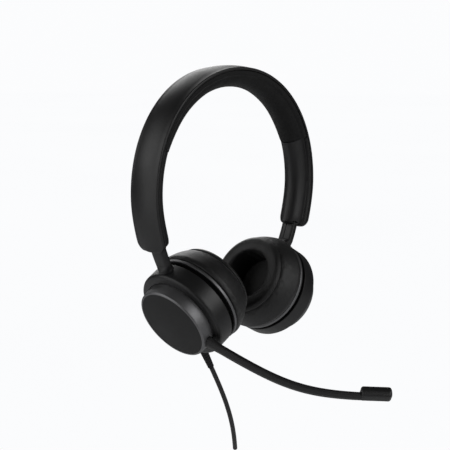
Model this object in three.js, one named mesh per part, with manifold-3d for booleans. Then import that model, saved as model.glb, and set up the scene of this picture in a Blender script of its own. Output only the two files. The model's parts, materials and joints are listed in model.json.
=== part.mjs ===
// A corded office headset: a sprung headband, two on-ear cups on sliding, swivelling stems, and a
// microphone boom that turns on the right cup.
//
// Millimetres. The origin is the middle of the head pad's underside at the crown, where the band
// rests on a head or on a hook. +X is the wearer's right, +Y forwards and +Z up.
//
// A cup has a frame of its own: x along the cup's disc in the fore-aft direction, y up the disc
// along the stem, z out of the cup away from the head. z = 0 is where the cushion meets its ring.
import * as THREE from "three";
import { mergeVertices } from "three/addons/utils/BufferGeometryUtils.js";
import Module from "manifold-3d";

const wasm = await Module();
wasm.setup();

// ---- Driving dimensions ----
const FIT = 0.3; // clearance between neighbouring pieces
const WALL = 1.8; // moulded shells

const BAND_WIDTH = 22.6;
const BAND_TOP = 13; // height of the crown's outer face, and so the band's depth there
const BAND_HALF_SPAN = 72; // widest reach of the outer face from the midplane
const BAND_WAIST_Z = -49 - BAND_TOP; // height of that widest point
const BAND_END_X = 65.8; // bottom end of a leg's outer face
const BAND_END_Z = -94.6;
const BAND_END_LEAN = THREE.MathUtils.degToRad(17);
const CROWN_PULL = 41.3; // how far the crown stays flat before it turns down
const SIDE_PULL = 43.1; // how far a side stays upright before it turns in
const LEG_PULL = 11;
const SHELL_DEPTH = 2.2;
const RIM_DEPTH = 3.5; // depth of the flat rims beside a leg's rounded back
const BACK_HALF_WIDTH = 8.1; // the rounded back of a leg
const LEG_DEPTH = 13.2;
const COVER_WALL = 1.4;
const PAD_CORNER = 2.5;
const PAD_SHAVED = 0.3; // taken off the pad's crest to leave it flat at the crown
const LEG_CORNER = 6; // rounding of a leg's bottom corners, seen from the side
const SEAM_AT = 86.4; // from the crown along the band to where the pad meets the leg covers
const STRIP_DEPTH = 2.5; // the spring strip's outer face
const STRIP_THICKNESS = 0.6;
const STRIP_WIDTH = 9.6;
const STRIP_HALF_LENGTH = 112;
const WIRE_RADIUS = 0.8; // the wire that joins the two cups
const WIRE_DEPTH = 4.3;
const WIRE_LEG_DEPTH = 10.3;
const WIRE_IN_LEG = 44; // how far the wire reaches into each leg

const EAR_DROP = 127.9; // from the crown to the cups' centres
const CUP_X = 30.1;
const CUP_TILT = THREE.MathUtils.degToRad(29.3); // the cups' outer faces look down by this much
const CUP_FORWARD = 2.2; // the cups' centres stand this far in front of their stems
const DRUM_RADIUS = 30;
const DRUM_LOW = 5; // the drum's edge nearest the cushion
const SHOULDER_Z = 17.1; // top of the drum, beside the turret
const SHOULDER_RADIUS = 1.2; // rounding of the drum's outer edge
const LAND_FALL = 0.8; // the drum's face falls away by this much from the turret to that edge
const SEAT_Z = 15.4; // the face that the turret sits over
const FLOOR = 1.5; // thickness of that floor
const TURRET_RADIUS = 24.6;
const TURRET_TOP = 25.1;
const TURRET_DRAFT = 0.5; // how much narrower the turret is at its top
const AXLE_RADIUS = 8.7; // the tube that the turret turns on
const AXLE_BORE = 7.2;
const AXLE_LOW = 11.2; // its inner end, in the drum

const RING_RADIUS = 30.2; // the cushion's plastic ring, whose edge shows as a thin band
const RING_HEIGHT = 2;
const RING_PLATE = 0.8;
const BAFFLE_INSET = 0.8; // the baffle's flange, inside the drum's outline
const BAFFLE_FLANGE = 0.8; // its thickness
const BAFFLE_STEP = 0.6; // the baffle's wall, inside its flange
const BAFFLE_SPIGOT = 1.3; // how far the spigot reaches into the drum
const CUSHION_RADIUS = 30.7;
const CUSHION_FRONT_RADIUS = 25.7;
const CUSHION_SEAM_Z = -15.4;
const CUSHION_FRONT_Z = -19.2;
const CUSHION_HOLE = 15.9;
const DRIVER_RADIUS = 15;

const STEM_Z = 10.5; // the stem enters the middle of the drum's wall
const STEM_WIDTH = 10.4; // the arm's thick lower part, which shows
const STEM_THICKNESS = 4.8;
const STEM_SQUARENESS = 0.45; // power of the bar's rounded section; 1 is an ellipse
const STEM_GROOVE = 2.4; // width of the groove down the bar's inner face
const STEM_SLOT_CORNER = 1.2; // rounding of the opening that the bar slides through
const TONGUE_WIDTH = 8; // the thinner part of the arm, inside the leg
const TONGUE_THICKNESS = 2.2;
const TONGUE_GROOVE = [1.6, 0.4]; // width and depth
const HUB_RADIUS = 4.5; // the round hub that turns on a spot face in the drum's wall
const HUB_LOW = 29.2;
const HUB_FLARE = 30.9; // from here up the hub changes into the bar
const HUB_HIGH = 35;
const ARM_BEND = 90; // the arm and the leg share this bend, which the arm slides round
const ARM_WIDE = 17.5; // length of the wide part, from the drum up
const ARM_LENGTH = 50;
const NECK_RADIUS = 1.7; // the pivot that the cup swivels on
const NECK_LOW = 22.6;
const GUIDE_FROM = 61.5; // the guide's lower end, along the arm's line
const GUIDE_LENGTH = 17;
const GUIDE_WALL = 0.8;
const DETENTS = 6;
const DETENT_PITCH = 2.5;
const NOTCH_RADIUS = 0.6;

const BOOM_DROP = THREE.MathUtils.degToRad(30); // the boom points this far below forwards
const BOOM_ROOT = [25, 20.8]; // each: distance out from the turret's axis, and z
const BOOM_ROOT_PULL = [80, 17.1];
const BOOM_TIP_PULL = [88.5, 14.7];
const BOOM_TIP = [128.9, -16.4];
const BOOM_HEIGHT = [7.4, 6.2]; // at the root and at the tip
const BOOM_THICKNESS = [4.2, 3.4];
const MIC_LENGTH = 18;
const MIC_HEIGHT = 8.4;
const MIC_THICKNESS = 6.4;
const MIC_INSET = 1.2; // how far its middle stands inwards of the boom's, so that it lies flush outside
const MIC_CAPSULE = 2.6; // radius
const MIC_PORT_X = 12.5; // along the microphone

const CORD_RADIUS = 1.5;
const CORD_BOOT_END = -48; // end of the ribbed boot, measured down the cup's disc
const BOOT_RIBS = 6;
const BOOT_NECK = 2.6;
const BOOT_TIP = 2;
const BUSH_RADIUS = 2.7; // the bush that the neck turns in
const BUSH_LOW = 25.2;
const CAP_RADIUS = 22.4;
const INSIDE = DRUM_RADIUS - WALL;
const SPOT_FACE = HUB_LOW - FIT; // the flat in the drum's wall that the hub stands over
const SCREW_ANGLES = [0, 130, 230]; // round the baffle, clear of the stem and the cord
const SCREW_CIRCLE = 23.2;
const SCREW_RADIUS = 1;
const SCREW_TOP = 10.5;
const BOSS_RADIUS = 2.6;
const BOARD_Z = 8.2;
const SPRING_WIDTH = 4;
const SPRING_THICKNESS = 0.3;

const ROUND = 36; // facets round a cup
const SMALL_ROUND = 16; // facets round an inner piece
const HOLE_ROUND = 12;

// ---- Colours ----
const soft = (color, roughness) => new THREE.MeshStandardMaterial({ color, roughness, metalness: 0 });
const metal = (color, roughness) => new THREE.MeshStandardMaterial({ color, roughness, metalness: 1 });
const satinBlack = () => soft(0x1b1b1d, 0.45);
const mattBlack = () => soft(0x18181a, 0.7);
const leatherette = () => soft(0x161617, 0.55);
const darkCloth = () => soft(0x121213, 0.95);
const springSteel = () => metal(0xa8abb0, 0.3);
const nylon = () => soft(0xd9d6cc, 0.5);
const brass = () => metal(0xb59a5a, 0.35);
const boardGreen = () => soft(0x1f5c3a, 0.5);
const rubber = () => soft(0x141414, 0.85);
const micGrey = () => soft(0x8b8d90, 0.6);
const paper = () => soft(0x2c2a28, 0.9);

// ---- Shapes ----
// A closed geometry as a solid for cutting and joining.
function solid(geometry) {
  const bare = geometry.clone();
  bare.deleteAttribute("normal");
  bare.deleteAttribute("uv");
  const merged = mergeVertices(bare, 1e-4);
  const corners = merged.index.array;
  const kept = [];
  for (let i = 0; i < corners.length; i += 3) {
    const [a, b, c] = [corners[i], corners[i + 1], corners[i + 2]];
    if (a !== b && b !== c && c !== a) kept.push(a, b, c);
  }
  return new wasm.Manifold(
    new wasm.Mesh({
      numProp: 3,
      vertProperties: merged.getAttribute("position").array,
      triVerts: new Uint32Array(kept),
    }),
  );
}

function geometryOf(made) {
  const { vertProperties, triVerts } = made.getMesh();
  const geometry = new THREE.BufferGeometry();
  geometry.setAttribute("position", new THREE.BufferAttribute(vertProperties, 3));
  geometry.setIndex(new THREE.BufferAttribute(triVerts, 1));
  return geometry.toNonIndexed();
}

// A geometry with some solids joined to it and others cut out of it.
function shaped(geometry, { joined = [], cut = [], kept = null }) {
  let made = solid(geometry);
  for (const piece of joined) made = made.add(solid(piece));
  for (const piece of cut) made = made.subtract(solid(piece));
  if (kept) made = made.intersect(solid(kept));
  return geometryOf(made);
}

// A profile of [radius, z] corners turned round z. The profile closes on itself or on the axis.
function turned(profile, facets = ROUND) {
  const area = profile.reduce((sum, [r, z], i) => {
    const [nextR, nextZ] = profile[(i + 1) % profile.length];
    return sum + r * nextZ - nextR * z;
  }, 0);
  const ordered = area > 0 ? profile : [...profile].reverse();
  const onAxis = ordered.filter(([r]) => r === 0).length;
  const first = onAxis ? (ordered.findIndex(([r], i) => r === 0 && ordered.at(i - 1)[0] === 0)) : 0;
  const spun = [...ordered.slice(first), ...ordered.slice(0, first)];
  if (!onAxis) spun.push(spun[0]);
  const points = spun.map(([r, z]) => new THREE.Vector2(r, z));
  return new THREE.LatheGeometry(points, facets).rotateX(Math.PI / 2);
}

// Corners along an arc, as [x, y] pairs.
function arc(x, y, radius, fromDeg, toDeg, pieces) {
  return Array.from({ length: pieces + 1 }, (_, i) => {
    const angle = THREE.MathUtils.degToRad(fromDeg + ((toDeg - fromDeg) * i) / pieces);
    return [x + radius * Math.cos(angle), y + radius * Math.sin(angle)];
  });
}

function polygon(corners) {
  return new THREE.Shape(corners.map(([x, y]) => new THREE.Vector2(x, y)));
}

function roundedRectangle(width, height, radius, pieces = 3) {
  const [x, y] = [width / 2 - radius, height / 2 - radius];
  return polygon([
    ...arc(x, y, radius, 0, 90, pieces),
    ...arc(-x, y, radius, 90, 180, pieces),
    ...arc(-x, -y, radius, 180, 270, pieces),
    ...arc(x, -y, radius, 270, 360, pieces),
  ]);
}

// A shape pushed along z from one height to another.
function block(shape, from, to) {
  const geometry = new THREE.ExtrudeGeometry(shape, { depth: to - from, steps: 1, bevelEnabled: false });
  return geometry.translate(0, 0, from);
}

// A rod along y, at x and z.
function rodAlongY(radius, from, to, x, z, facets = HOLE_ROUND) {
  const rod = new THREE.CylinderGeometry(radius, radius, to - from, facets);
  return rod.translate(x, (from + to) / 2, z);
}

// A rod along z, at x and y.
function rodAlongZ(radius, from, to, x, y, facets = HOLE_ROUND) {
  const rod = new THREE.CylinderGeometry(radius, radius, to - from, facets).rotateX(Math.PI / 2);
  return rod.translate(x, y, (from + to) / 2);
}

// A section swept through space: place(x, y, t) says where the section's corner (x, y) stands
// when the sweep has covered the share t of its length.
function swept(section, steps, place) {
  const geometry = new THREE.ExtrudeGeometry(section, { depth: 1, steps, bevelEnabled: false });
  const position = geometry.getAttribute("position");
  for (let i = 0; i < position.count; i++) {
    const at = place(position.getX(i), position.getY(i), position.getZ(i));
    position.setXYZ(i, at.x, at.y, at.z);
  }
  return geometry;
}

function named(name, geometry, material) {
  const mesh = new THREE.Mesh(geometry, material);
  mesh.name = name;
  return mesh;
}

// ---- The headband's line ----
// The outer face, from the left leg's end over the crown to the right leg's end.
function bandLine() {
  const at = (x, z) => new THREE.Vector3(x, 0, z);
  const [endX, endZ] = [BAND_END_X, BAND_END_Z];
  const leanX = LEG_PULL * Math.sin(BAND_END_LEAN);
  const leanZ = LEG_PULL * Math.cos(BAND_END_LEAN);
  const leg = (side) => [
    at(side * endX, endZ),
    at(side * (endX + leanX), endZ + leanZ),
    at(side * BAND_HALF_SPAN, BAND_WAIST_Z - LEG_PULL),
    at(side * BAND_HALF_SPAN, BAND_WAIST_Z),
  ];
  const arch = (side) => [
    at(side * BAND_HALF_SPAN, BAND_WAIST_Z),
    at(side * BAND_HALF_SPAN, BAND_WAIST_Z + SIDE_PULL),
    at(side * CROWN_PULL, BAND_TOP),
    at(0, BAND_TOP),
  ];
  const line = new THREE.CurvePath();
  line.add(new THREE.CubicBezierCurve3(...leg(-1)));
  line.add(new THREE.CubicBezierCurve3(...arch(-1)));
  line.add(new THREE.CubicBezierCurve3(...arch(1).reverse()));
  line.add(new THREE.CubicBezierCurve3(...leg(1).reverse()));
  return line;
}

const BAND = bandLine();
const BAND_HALF_LENGTH = BAND.getLength() / 2;

// The point at a distance along the band from the crown (rightwards positive), a depth inwards
// from the outer face, and y across it.
function onBand(along, depth, y) {
  const share = THREE.MathUtils.clamp(0.5 + along / BAND_HALF_LENGTH / 2, 0, 1);
  const at = BAND.getPointAt(share);
  const heading = BAND.getTangentAt(share);
  return new THREE.Vector3(at.x + heading.z * depth, y, at.z - heading.x * depth);
}

// A section of [y, depth] corners swept along the band.
function alongBand(section, from, to, steps) {
  return swept(section, steps, (x, depth, t) => onBand(from + (to - from) * t, depth, -x));
}

// A section symmetric about the band's middle: its corners as [y, depth], from the outer middle
// round one side to the inner middle.
function bandSection(corners) {
  const otherSide = corners.filter(([y]) => y > 0).map(([y, depth]) => [-y, depth]);
  return polygon([...corners, ...otherSide.reverse()]);
}

// The rounded back of a leg or of the pad: a quarter of an ellipse from its side to its crest.
function crest(halfWidth, from, to, pieces = 5) {
  return arc(0, 0, 1, 0, 90, pieces).map(([x, y]) => [halfWidth * x, from + (to - from) * y]);
}

// Keeps the bottom corners of the legs rounded, seen from the side.
function legOutline() {
  const half = BAND_WIDTH / 2 + 0.1;
  const outline = polygon([
    [half, BAND_TOP + 1],
    [-half, BAND_TOP + 1],
    ...arc(-half + LEG_CORNER, BAND_END_Z + LEG_CORNER, LEG_CORNER, 180, 270, 4),
    ...arc(half - LEG_CORNER, BAND_END_Z + LEG_CORNER, LEG_CORNER, 270, 360, 4),
  ]);
  const reach = BAND_HALF_SPAN + 10;
  const [x, y, z] = [new THREE.Vector3(1, 0, 0), new THREE.Vector3(0, 1, 0), new THREE.Vector3(0, 0, 1)];
  return block(outline, -reach, reach).applyMatrix4(new THREE.Matrix4().makeBasis(y, z, x));
}

// ---- Headband pieces ----
function bandShell() {
  const half = BAND_WIDTH / 2;
  const section = bandSection([
    [0, 0],
    ...arc(half - 1.5, 1.75, 1.5, -90, 0, 3),
    [half - 0.3, SHELL_DEPTH],
    [0, SHELL_DEPTH],
  ]);
  const whole = alongBand(section, -BAND_HALF_LENGTH, BAND_HALF_LENGTH, 38);
  return shaped(whole, { kept: legOutline() });
}

function springStrip() {
  const section = bandSection([
    [0, STRIP_DEPTH],
    [STRIP_WIDTH / 2, STRIP_DEPTH],
    [STRIP_WIDTH / 2, STRIP_DEPTH + STRIP_THICKNESS],
    [0, STRIP_DEPTH + STRIP_THICKNESS],
  ]);
  return alongBand(section, -STRIP_HALF_LENGTH, STRIP_HALF_LENGTH, 28);
}

// Soft foam in leatherette, glued under the shell, with a groove for the strip and the wire. Its
// underside is flat where it rests at the crown.
function headPad() {
  const half = BAND_WIDTH / 2 - 0.2;
  const top = SHELL_DEPTH + FIT;
  const grooveFloor = STRIP_DEPTH + STRIP_THICKNESS + FIT;
  const wireFloor = WIRE_DEPTH + WIRE_RADIUS + FIT;
  const side = [half - PAD_CORNER, top + PAD_CORNER];
  const section = bandSection([
    [0, wireFloor],
    [WIRE_RADIUS + FIT, wireFloor],
    [WIRE_RADIUS + FIT, grooveFloor],
    [STRIP_WIDTH / 2 + FIT, grooveFloor],
    [STRIP_WIDTH / 2 + FIT, top],
    [half, top],
    ...arc(...side, PAD_CORNER, 0, 90, 2),
    ...crest(side[0] - 0.1, side[1] + PAD_CORNER, BAND_TOP + PAD_SHAVED).slice(1),
  ]);
  const steps = 23; // an odd number, so that one facet lies level across the crown
  const whole = alongBand(section, FIT / 2 - SEAM_AT, SEAM_AT - FIT / 2, steps);
  const levelLength = (2 * SEAM_AT) / steps;
  const shaving = block(roundedRectangle(levelLength - 0.6, BAND_WIDTH, 0.5, 1), -BAND_TOP, 0);
  return shaped(whole, { cut: [shaving] });
}

// The wire runs under the strip at the crown and dips behind the arms in the legs.
function linkWire() {
  const reach = SEAM_AT + WIRE_IN_LEG;
  const section = polygon(arc(0, 0, WIRE_RADIUS, 0, 300, 5));
  return swept(section, 32, (x, y, t) => {
    const along = reach * (2 * t - 1);
    const dip = THREE.MathUtils.smoothstep(Math.abs(along), SEAM_AT + 1, SEAM_AT + 14);
    return onBand(along, THREE.MathUtils.lerp(WIRE_DEPTH, WIRE_LEG_DEPTH, dip) + y, -x);
  });
}

// The arm slides along an arc in the cup's own y-z plane. A distance along the arc from the drum,
// and a height out of it, give a point; the arc's line runs through STEM_Z at the drum.
function onArm(x, along, out) {
  const turn = (along - DRUM_RADIUS) / ARM_BEND;
  const radius = ARM_BEND + out;
  return new THREE.Vector3(
    x,
    DRUM_RADIUS + radius * Math.sin(turn),
    STEM_Z - ARM_BEND + radius * Math.cos(turn),
  );
}

// A section of [x, out] corners swept along the arm's arc.
function alongArm(section, from, to, steps) {
  return swept(section, steps, (x, out, t) => onArm(-x, from + (to - from) * t, out));
}

// A cup's frame, with the stem's line at x = 0 or the cup's own middle there.
function cupFrame(side, forward) {
  const out = new THREE.Vector3(side * Math.cos(CUP_TILT), 0, -Math.sin(CUP_TILT));
  const up = new THREE.Vector3(side * Math.sin(CUP_TILT), 0, Math.cos(CUP_TILT));
  const across = new THREE.Vector3().crossVectors(up, out);
  const frame = new THREE.Group();
  frame.applyMatrix4(new THREE.Matrix4().makeBasis(across, up, out));
  frame.position.set(side * CUP_X, forward, -EAR_DROP);
  frame.updateMatrixWorld(true);
  return frame;
}

// A leg's inner cover: a flat rim with a rounded back, open behind the shell, with a slot at the
// bottom that the arm passes through.
function legCover() {
  const half = BAND_WIDTH / 2 - 0.2;
  const top = SHELL_DEPTH + FIT;
  const body = bandSection([
    [0, top],
    [half, top],
    [half, RIM_DEPTH - 0.3],
    [half - 0.3, RIM_DEPTH],
    [BACK_HALF_WIDTH + 0.1, RIM_DEPTH],
    ...crest(BACK_HALF_WIDTH, RIM_DEPTH + 0.4, LEG_DEPTH),
  ]);
  const hollow = bandSection([
    [0, top - 1],
    [BACK_HALF_WIDTH - COVER_WALL, top - 1],
    ...crest(BACK_HALF_WIDTH - COVER_WALL, LEG_DEPTH / 2, LEG_DEPTH - COVER_WALL),
  ]);
  const end = BAND_HALF_LENGTH;
  const opening = roundedRectangle(STEM_WIDTH + 2 * FIT, STEM_THICKNESS + 2 * FIT, STEM_SLOT_CORNER);
  const slot = alongArm(opening, 36, 56, 8);
  slot.applyMatrix4(cupFrame(1, 0).matrixWorld);
  return shaped(alongBand(body, SEAM_AT + FIT / 2, end, 12), {
    cut: [alongBand(hollow, SEAM_AT - 1, end - COVER_WALL, 12), slot],
    kept: legOutline(),
  });
}

// ---- Arm, in the cup's frame with the stem at x = 0 ----
// The thick lower part: a round hub that changes into a bar of rounded section.
function stemBar(to) {
  const disc = polygon(arc(0, 0, 1, 0, 337.5, 15));
  const squared = (value, power) => Math.sign(value) * Math.abs(value) ** power;
  return swept(disc, 14, (x, y, t) => {
    const along = THREE.MathUtils.lerp(HUB_LOW, to, t);
    const change = THREE.MathUtils.smoothstep(along, HUB_FLARE, HUB_HIGH);
    const halfWidth = THREE.MathUtils.lerp(HUB_RADIUS, STEM_WIDTH / 2, change);
    const halfThickness = THREE.MathUtils.lerp(HUB_RADIUS, STEM_THICKNESS / 2, change);
    const power = THREE.MathUtils.lerp(1, STEM_SQUARENESS, change);
    return onArm(-squared(x, power) * halfWidth, along, squared(y, power) * halfThickness);
  });
}

// The bar, the tongue in the leg with its groove and notches, and the neck that the cup turns on.
function sliderArm() {
  const [x, z, r] = [TONGUE_WIDTH / 2, TONGUE_THICKNESS / 2, 0.7];
  const [half, depth] = [TONGUE_GROOVE[0] / 2, TONGUE_GROOVE[1]];
  const grooved = polygon([
    ...arc(x - r, z - r, r, 0, 90, 1),
    ...arc(-x + r, z - r, r, 90, 180, 1),
    ...arc(-x + r, -z + r, r, 180, 270, 1),
    [-half, -z],
    [-half, depth - z],
    [half, depth - z],
    [half, -z],
    ...arc(x - r, -z + r, r, 270, 360, 1),
  ]);
  const wideEnd = DRUM_RADIUS + ARM_WIDE;
  const tongue = alongArm(grooved, wideEnd - 1, DRUM_RADIUS + ARM_LENGTH, 8);
  const notches = Array.from({ length: DETENTS }, (_, i) => {
    const along = GUIDE_FROM + GUIDE_LENGTH / 2 + (i - DETENTS + 2) * DETENT_PITCH;
    const at = onArm(0, along, -z);
    const notch = new THREE.CylinderGeometry(NOTCH_RADIUS, NOTCH_RADIUS, TONGUE_WIDTH + 2, 6).rotateZ(Math.PI / 2);
    return notch.translate(at.x, at.y, at.z);
  });
  const grooveSection = roundedRectangle(STEM_GROOVE, 1, 0.3, 1);
  const groove = swept(grooveSection, 8, (gx, out, t) =>
    onArm(-gx, THREE.MathUtils.lerp(HUB_HIGH, wideEnd + 1, t), out - STEM_THICKNESS / 2));
  const neck = rodAlongY(NECK_RADIUS, NECK_LOW, HUB_LOW + 1, 0, STEM_Z);
  return shaped(stemBar(wideEnd), { joined: [tongue, neck], cut: [...notches, groove] });
}

// The nylon sleeve that the tongue slides in, with a window for the detent spring.
function sliderGuide() {
  const [innerX, innerZ] = [TONGUE_WIDTH + 2 * FIT, TONGUE_THICKNESS + 2 * FIT];
  const section = roundedRectangle(innerX + 2 * GUIDE_WALL, innerZ + 2 * GUIDE_WALL, 0.5, 1);
  section.holes.push(roundedRectangle(innerX, innerZ, 0.3, 1));
  const sleeve = alongArm(section, GUIDE_FROM, GUIDE_FROM + GUIDE_LENGTH, 6);
  const middle = GUIDE_FROM + GUIDE_LENGTH / 2;
  const under = -innerZ / 2 - GUIDE_WALL / 2;
  const opening = roundedRectangle(SPRING_WIDTH + 2 * FIT, 2 * GUIDE_WALL, 0.1, 1);
  const window = swept(opening, 1, (x, y, t) => onArm(-x, middle - 2.6 + 5.2 * t, under + y));
  return shaped(sleeve, { cut: [window] });
}

// A leaf under the guide whose bump clicks into the tongue's notches.
function detentSpring() {
  const middle = GUIDE_FROM + GUIDE_LENGTH / 2;
  const base = -TONGUE_THICKNESS / 2 - FIT - GUIDE_WALL - FIT;
  const rise = 1.0;
  const leaf = [
    [-6, 0], [-1.8, 0], [-0.4, rise], [0.4, rise], [1.8, 0], [6, 0],
    [6, -SPRING_THICKNESS], [1.6, -SPRING_THICKNESS], [0.2, rise - SPRING_THICKNESS],
    [-0.2, rise - SPRING_THICKNESS], [-1.6, -SPRING_THICKNESS], [-6, -SPRING_THICKNESS],
  ];
  return swept(polygon(leaf), 1, (along, out, t) =>
    onArm(SPRING_WIDTH * (t - 0.5), middle + along, base + out));
}

// The circlip that keeps the neck in its bush.
function swivelClip() {
  return tube(NECK_RADIUS + FIT, 3.2, NECK_LOW + 0.8, NECK_LOW + 2, 0);
}

// ---- Cup pieces, in the cup's frame; stemX is where the stem and the cord enter ----
function screwPlaces() {
  return SCREW_ANGLES.map((degrees) => arc(0, 0, SCREW_CIRCLE, degrees, degrees, 1)[0]);
}

// A ring turned round a line along y through the stem's or the cord's entry.
function turnedAlongY(profile, x, facets = HOLE_ROUND) {
  return turned(profile, facets).rotateX(-Math.PI / 2).translate(x, 0, STEM_Z);
}

function tube(inner, outer, from, to, x) {
  return turnedAlongY([[inner, from], [outer, from], [outer, to], [inner, to]], x);
}

function cupHousing(stemX, hasCord) {
  const floorLow = SEAT_Z - FLOOR;
  const body = turned([
    [INSIDE, DRUM_LOW],
    [DRUM_RADIUS, DRUM_LOW],
    ...arc(DRUM_RADIUS - SHOULDER_RADIUS, SHOULDER_Z - LAND_FALL - SHOULDER_RADIUS, SHOULDER_RADIUS, 0, 90, 3),
    [TURRET_RADIUS + FIT, SHOULDER_Z],
    [TURRET_RADIUS + FIT, SEAT_Z],
    [AXLE_RADIUS + 2 * FIT, SEAT_Z],
    [AXLE_RADIUS + 2 * FIT, floorLow],
    [INSIDE - 1.2, floorLow],
    [INSIDE, floorLow - 1.2],
  ]);
  const bosses = screwPlaces().map(([x, y]) => rodAlongZ(BOSS_RADIUS, DRUM_LOW + FIT, floorLow + 0.5, x, y));
  const pilots = screwPlaces().map(([x, y]) =>
    rodAlongZ(SCREW_RADIUS + FIT, DRUM_LOW, SCREW_TOP + FIT, x, y, 8));
  const posts = hasCord ? [-1, 1].map((i) => rodAlongZ(1.3, BOARD_Z + 1.3, floorLow + 0.5, 5.5 * i, -21, 8)) : [];
  const neckHole = rodAlongY(BUSH_RADIUS + FIT, INSIDE - 3, DRUM_RADIUS + 1, stemX, STEM_Z);
  const spotFace = rodAlongY(HUB_RADIUS + FIT, SPOT_FACE, DRUM_RADIUS + 1, stemX, STEM_Z, 2 * HOLE_ROUND);
  const cordHole = rodAlongY(BOOT_NECK + FIT, -DRUM_RADIUS - 1, 3 - INSIDE, stemX, STEM_Z);
  return shaped(body, {
    joined: [...bosses, ...posts],
    cut: [...pilots, neckHole, spotFace, ...(hasCord ? [cordHole] : [])],
  });
}

function swivelBush(stemX) {
  const [bore, flange] = [NECK_RADIUS + FIT, BUSH_RADIUS + 0.5];
  return turnedAlongY([
    [bore, BUSH_LOW],
    [flange, BUSH_LOW],
    [flange, BUSH_LOW + 1],
    [BUSH_RADIUS, BUSH_LOW + 1],
    [BUSH_RADIUS, SPOT_FACE - FIT],
    [bore, SPOT_FACE - FIT],
  ], stemX);
}

// The plate that carries the speaker and closes the drum, set back to leave a shadow gap.
function baffle() {
  const low = RING_HEIGHT + FIT;
  const flange = DRUM_RADIUS - BAFFLE_INSET;
  const wall = flange - BAFFLE_STEP;
  const spigot = INSIDE - FIT;
  const inside = spigot - 1.4;
  const body = turned([
    [DRIVER_RADIUS + FIT, low],
    [flange, low],
    [flange, low + BAFFLE_FLANGE],
    [wall, low + BAFFLE_FLANGE],
    [wall, DRUM_LOW - FIT],
    [spigot, DRUM_LOW - FIT],
    [spigot, DRUM_LOW + BAFFLE_SPIGOT],
    [inside, DRUM_LOW + BAFFLE_SPIGOT],
    [inside, DRUM_LOW],
    [DRIVER_RADIUS + FIT, DRUM_LOW],
  ]);
  const holes = screwPlaces().map(([x, y]) => rodAlongZ(SCREW_RADIUS + FIT, low - 1, DRUM_LOW + 1, x, y, 8));
  return shaped(body, { cut: holes });
}

function baffleScrew([x, y]) {
  const head = SCREW_RADIUS + 0.9;
  const under = RING_HEIGHT;
  return turned([
    [0, under - 1],
    [head, under - 1],
    [head, under],
    [SCREW_RADIUS, under],
    [SCREW_RADIUS, SCREW_TOP],
    [0, SCREW_TOP],
  ], 8).translate(x, y, 0);
}

function cushionRing() {
  const [edge, corner] = [RING_RADIUS, 0.3];
  return turned([
    [DRIVER_RADIUS - 0.4, 0],
    [edge - corner, 0],
    [edge, corner],
    [edge, RING_HEIGHT - corner],
    [edge - corner, RING_HEIGHT],
    [edge - WALL, RING_HEIGHT],
    [edge - WALL, RING_PLATE],
    [DRIVER_RADIUS - 0.4, RING_PLATE],
  ]);
}

function earCushion() {
  const [side, front, seam] = [CUSHION_RADIUS, CUSHION_FRONT_RADIUS, CUSHION_SEAM_Z];
  return turned([
    [CUSHION_HOLE, -FIT],
    [side - 0.7, -FIT],
    [side, -1.2],
    [side + 0.2, -3],
    [side - 0.8, -8],
    [side - 2.5, -12.4],
    [front + 0.3, seam],
    [front, seam - 1.4],
    [front - 1.6, CUSHION_FRONT_Z + 0.5],
    [(front + CUSHION_HOLE) / 2, CUSHION_FRONT_Z],
    [CUSHION_HOLE + 1.2, CUSHION_FRONT_Z + 0.6],
    [CUSHION_HOLE, CUSHION_FRONT_Z + 2.4],
  ]);
}

function speakerCloth() {
  const radius = CUSHION_HOLE - 0.5;
  return turned([[0, -0.9], [radius, -0.9], [radius, -FIT], [0, -FIT]], SMALL_ROUND);
}

function speakerFrame() {
  return turned([
    [DRIVER_RADIUS, 2.1],
    [DRIVER_RADIUS, 5.6],
    [9.6, 8.2],
    [5.8, 8.2],
    [5.8, 7],
    [9.2, 7],
    [DRIVER_RADIUS - 1.2, 5],
    [DRIVER_RADIUS - 1.2, 2.1],
  ], SMALL_ROUND);
}

function speakerMagnet() {
  return turned([[0, 8.5], [8, 8.5], [8.6, 9], [8.6, 10.9], [0, 10.9]], SMALL_ROUND);
}

function speakerCone() {
  const [surround, coil] = [DRIVER_RADIUS - 1.6, 7];
  return turned([
    [0, 4.4],
    [coil, 3],
    [coil + 3, 3.6],
    [surround, 2.6],
    [surround, 2.2],
    [coil + 3, 3.2],
    [coil, 2.6],
    [0, 4],
  ], SMALL_ROUND);
}

// The snap ring under the drum's floor that holds the turret or the cap down.
function retainingRing() {
  const [low, high] = [AXLE_LOW + 0.4, SEAT_Z - FLOOR - FIT];
  const inner = AXLE_RADIUS + FIT;
  return turned([[inner, low], [inner + 3.4, low], [inner + 3.4, high], [inner, high]], SMALL_ROUND);
}

// The left cup has a fixed cap of the turret's shape.
function outerCap() {
  const narrow = TURRET_RADIUS - TURRET_DRAFT;
  const shell = turned([
    [0, TURRET_TOP - 0.2],
    [narrow - 1.2, TURRET_TOP - 0.2],
    [narrow - 0.7, TURRET_TOP],
    [narrow, TURRET_TOP - 0.7],
    [TURRET_RADIUS, SEAT_Z + FIT],
    [TURRET_RADIUS - WALL, SEAT_Z + FIT],
    [TURRET_RADIUS - WALL, TURRET_TOP - 2.4],
    [0, TURRET_TOP - 2.4],
  ]);
  const high = TURRET_TOP - 2;
  const stub = [[AXLE_BORE, AXLE_LOW], [AXLE_RADIUS, AXLE_LOW], [AXLE_RADIUS, high], [AXLE_BORE, high]];
  return shaped(shell, { joined: [turned(stub, SMALL_ROUND)] });
}

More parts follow.
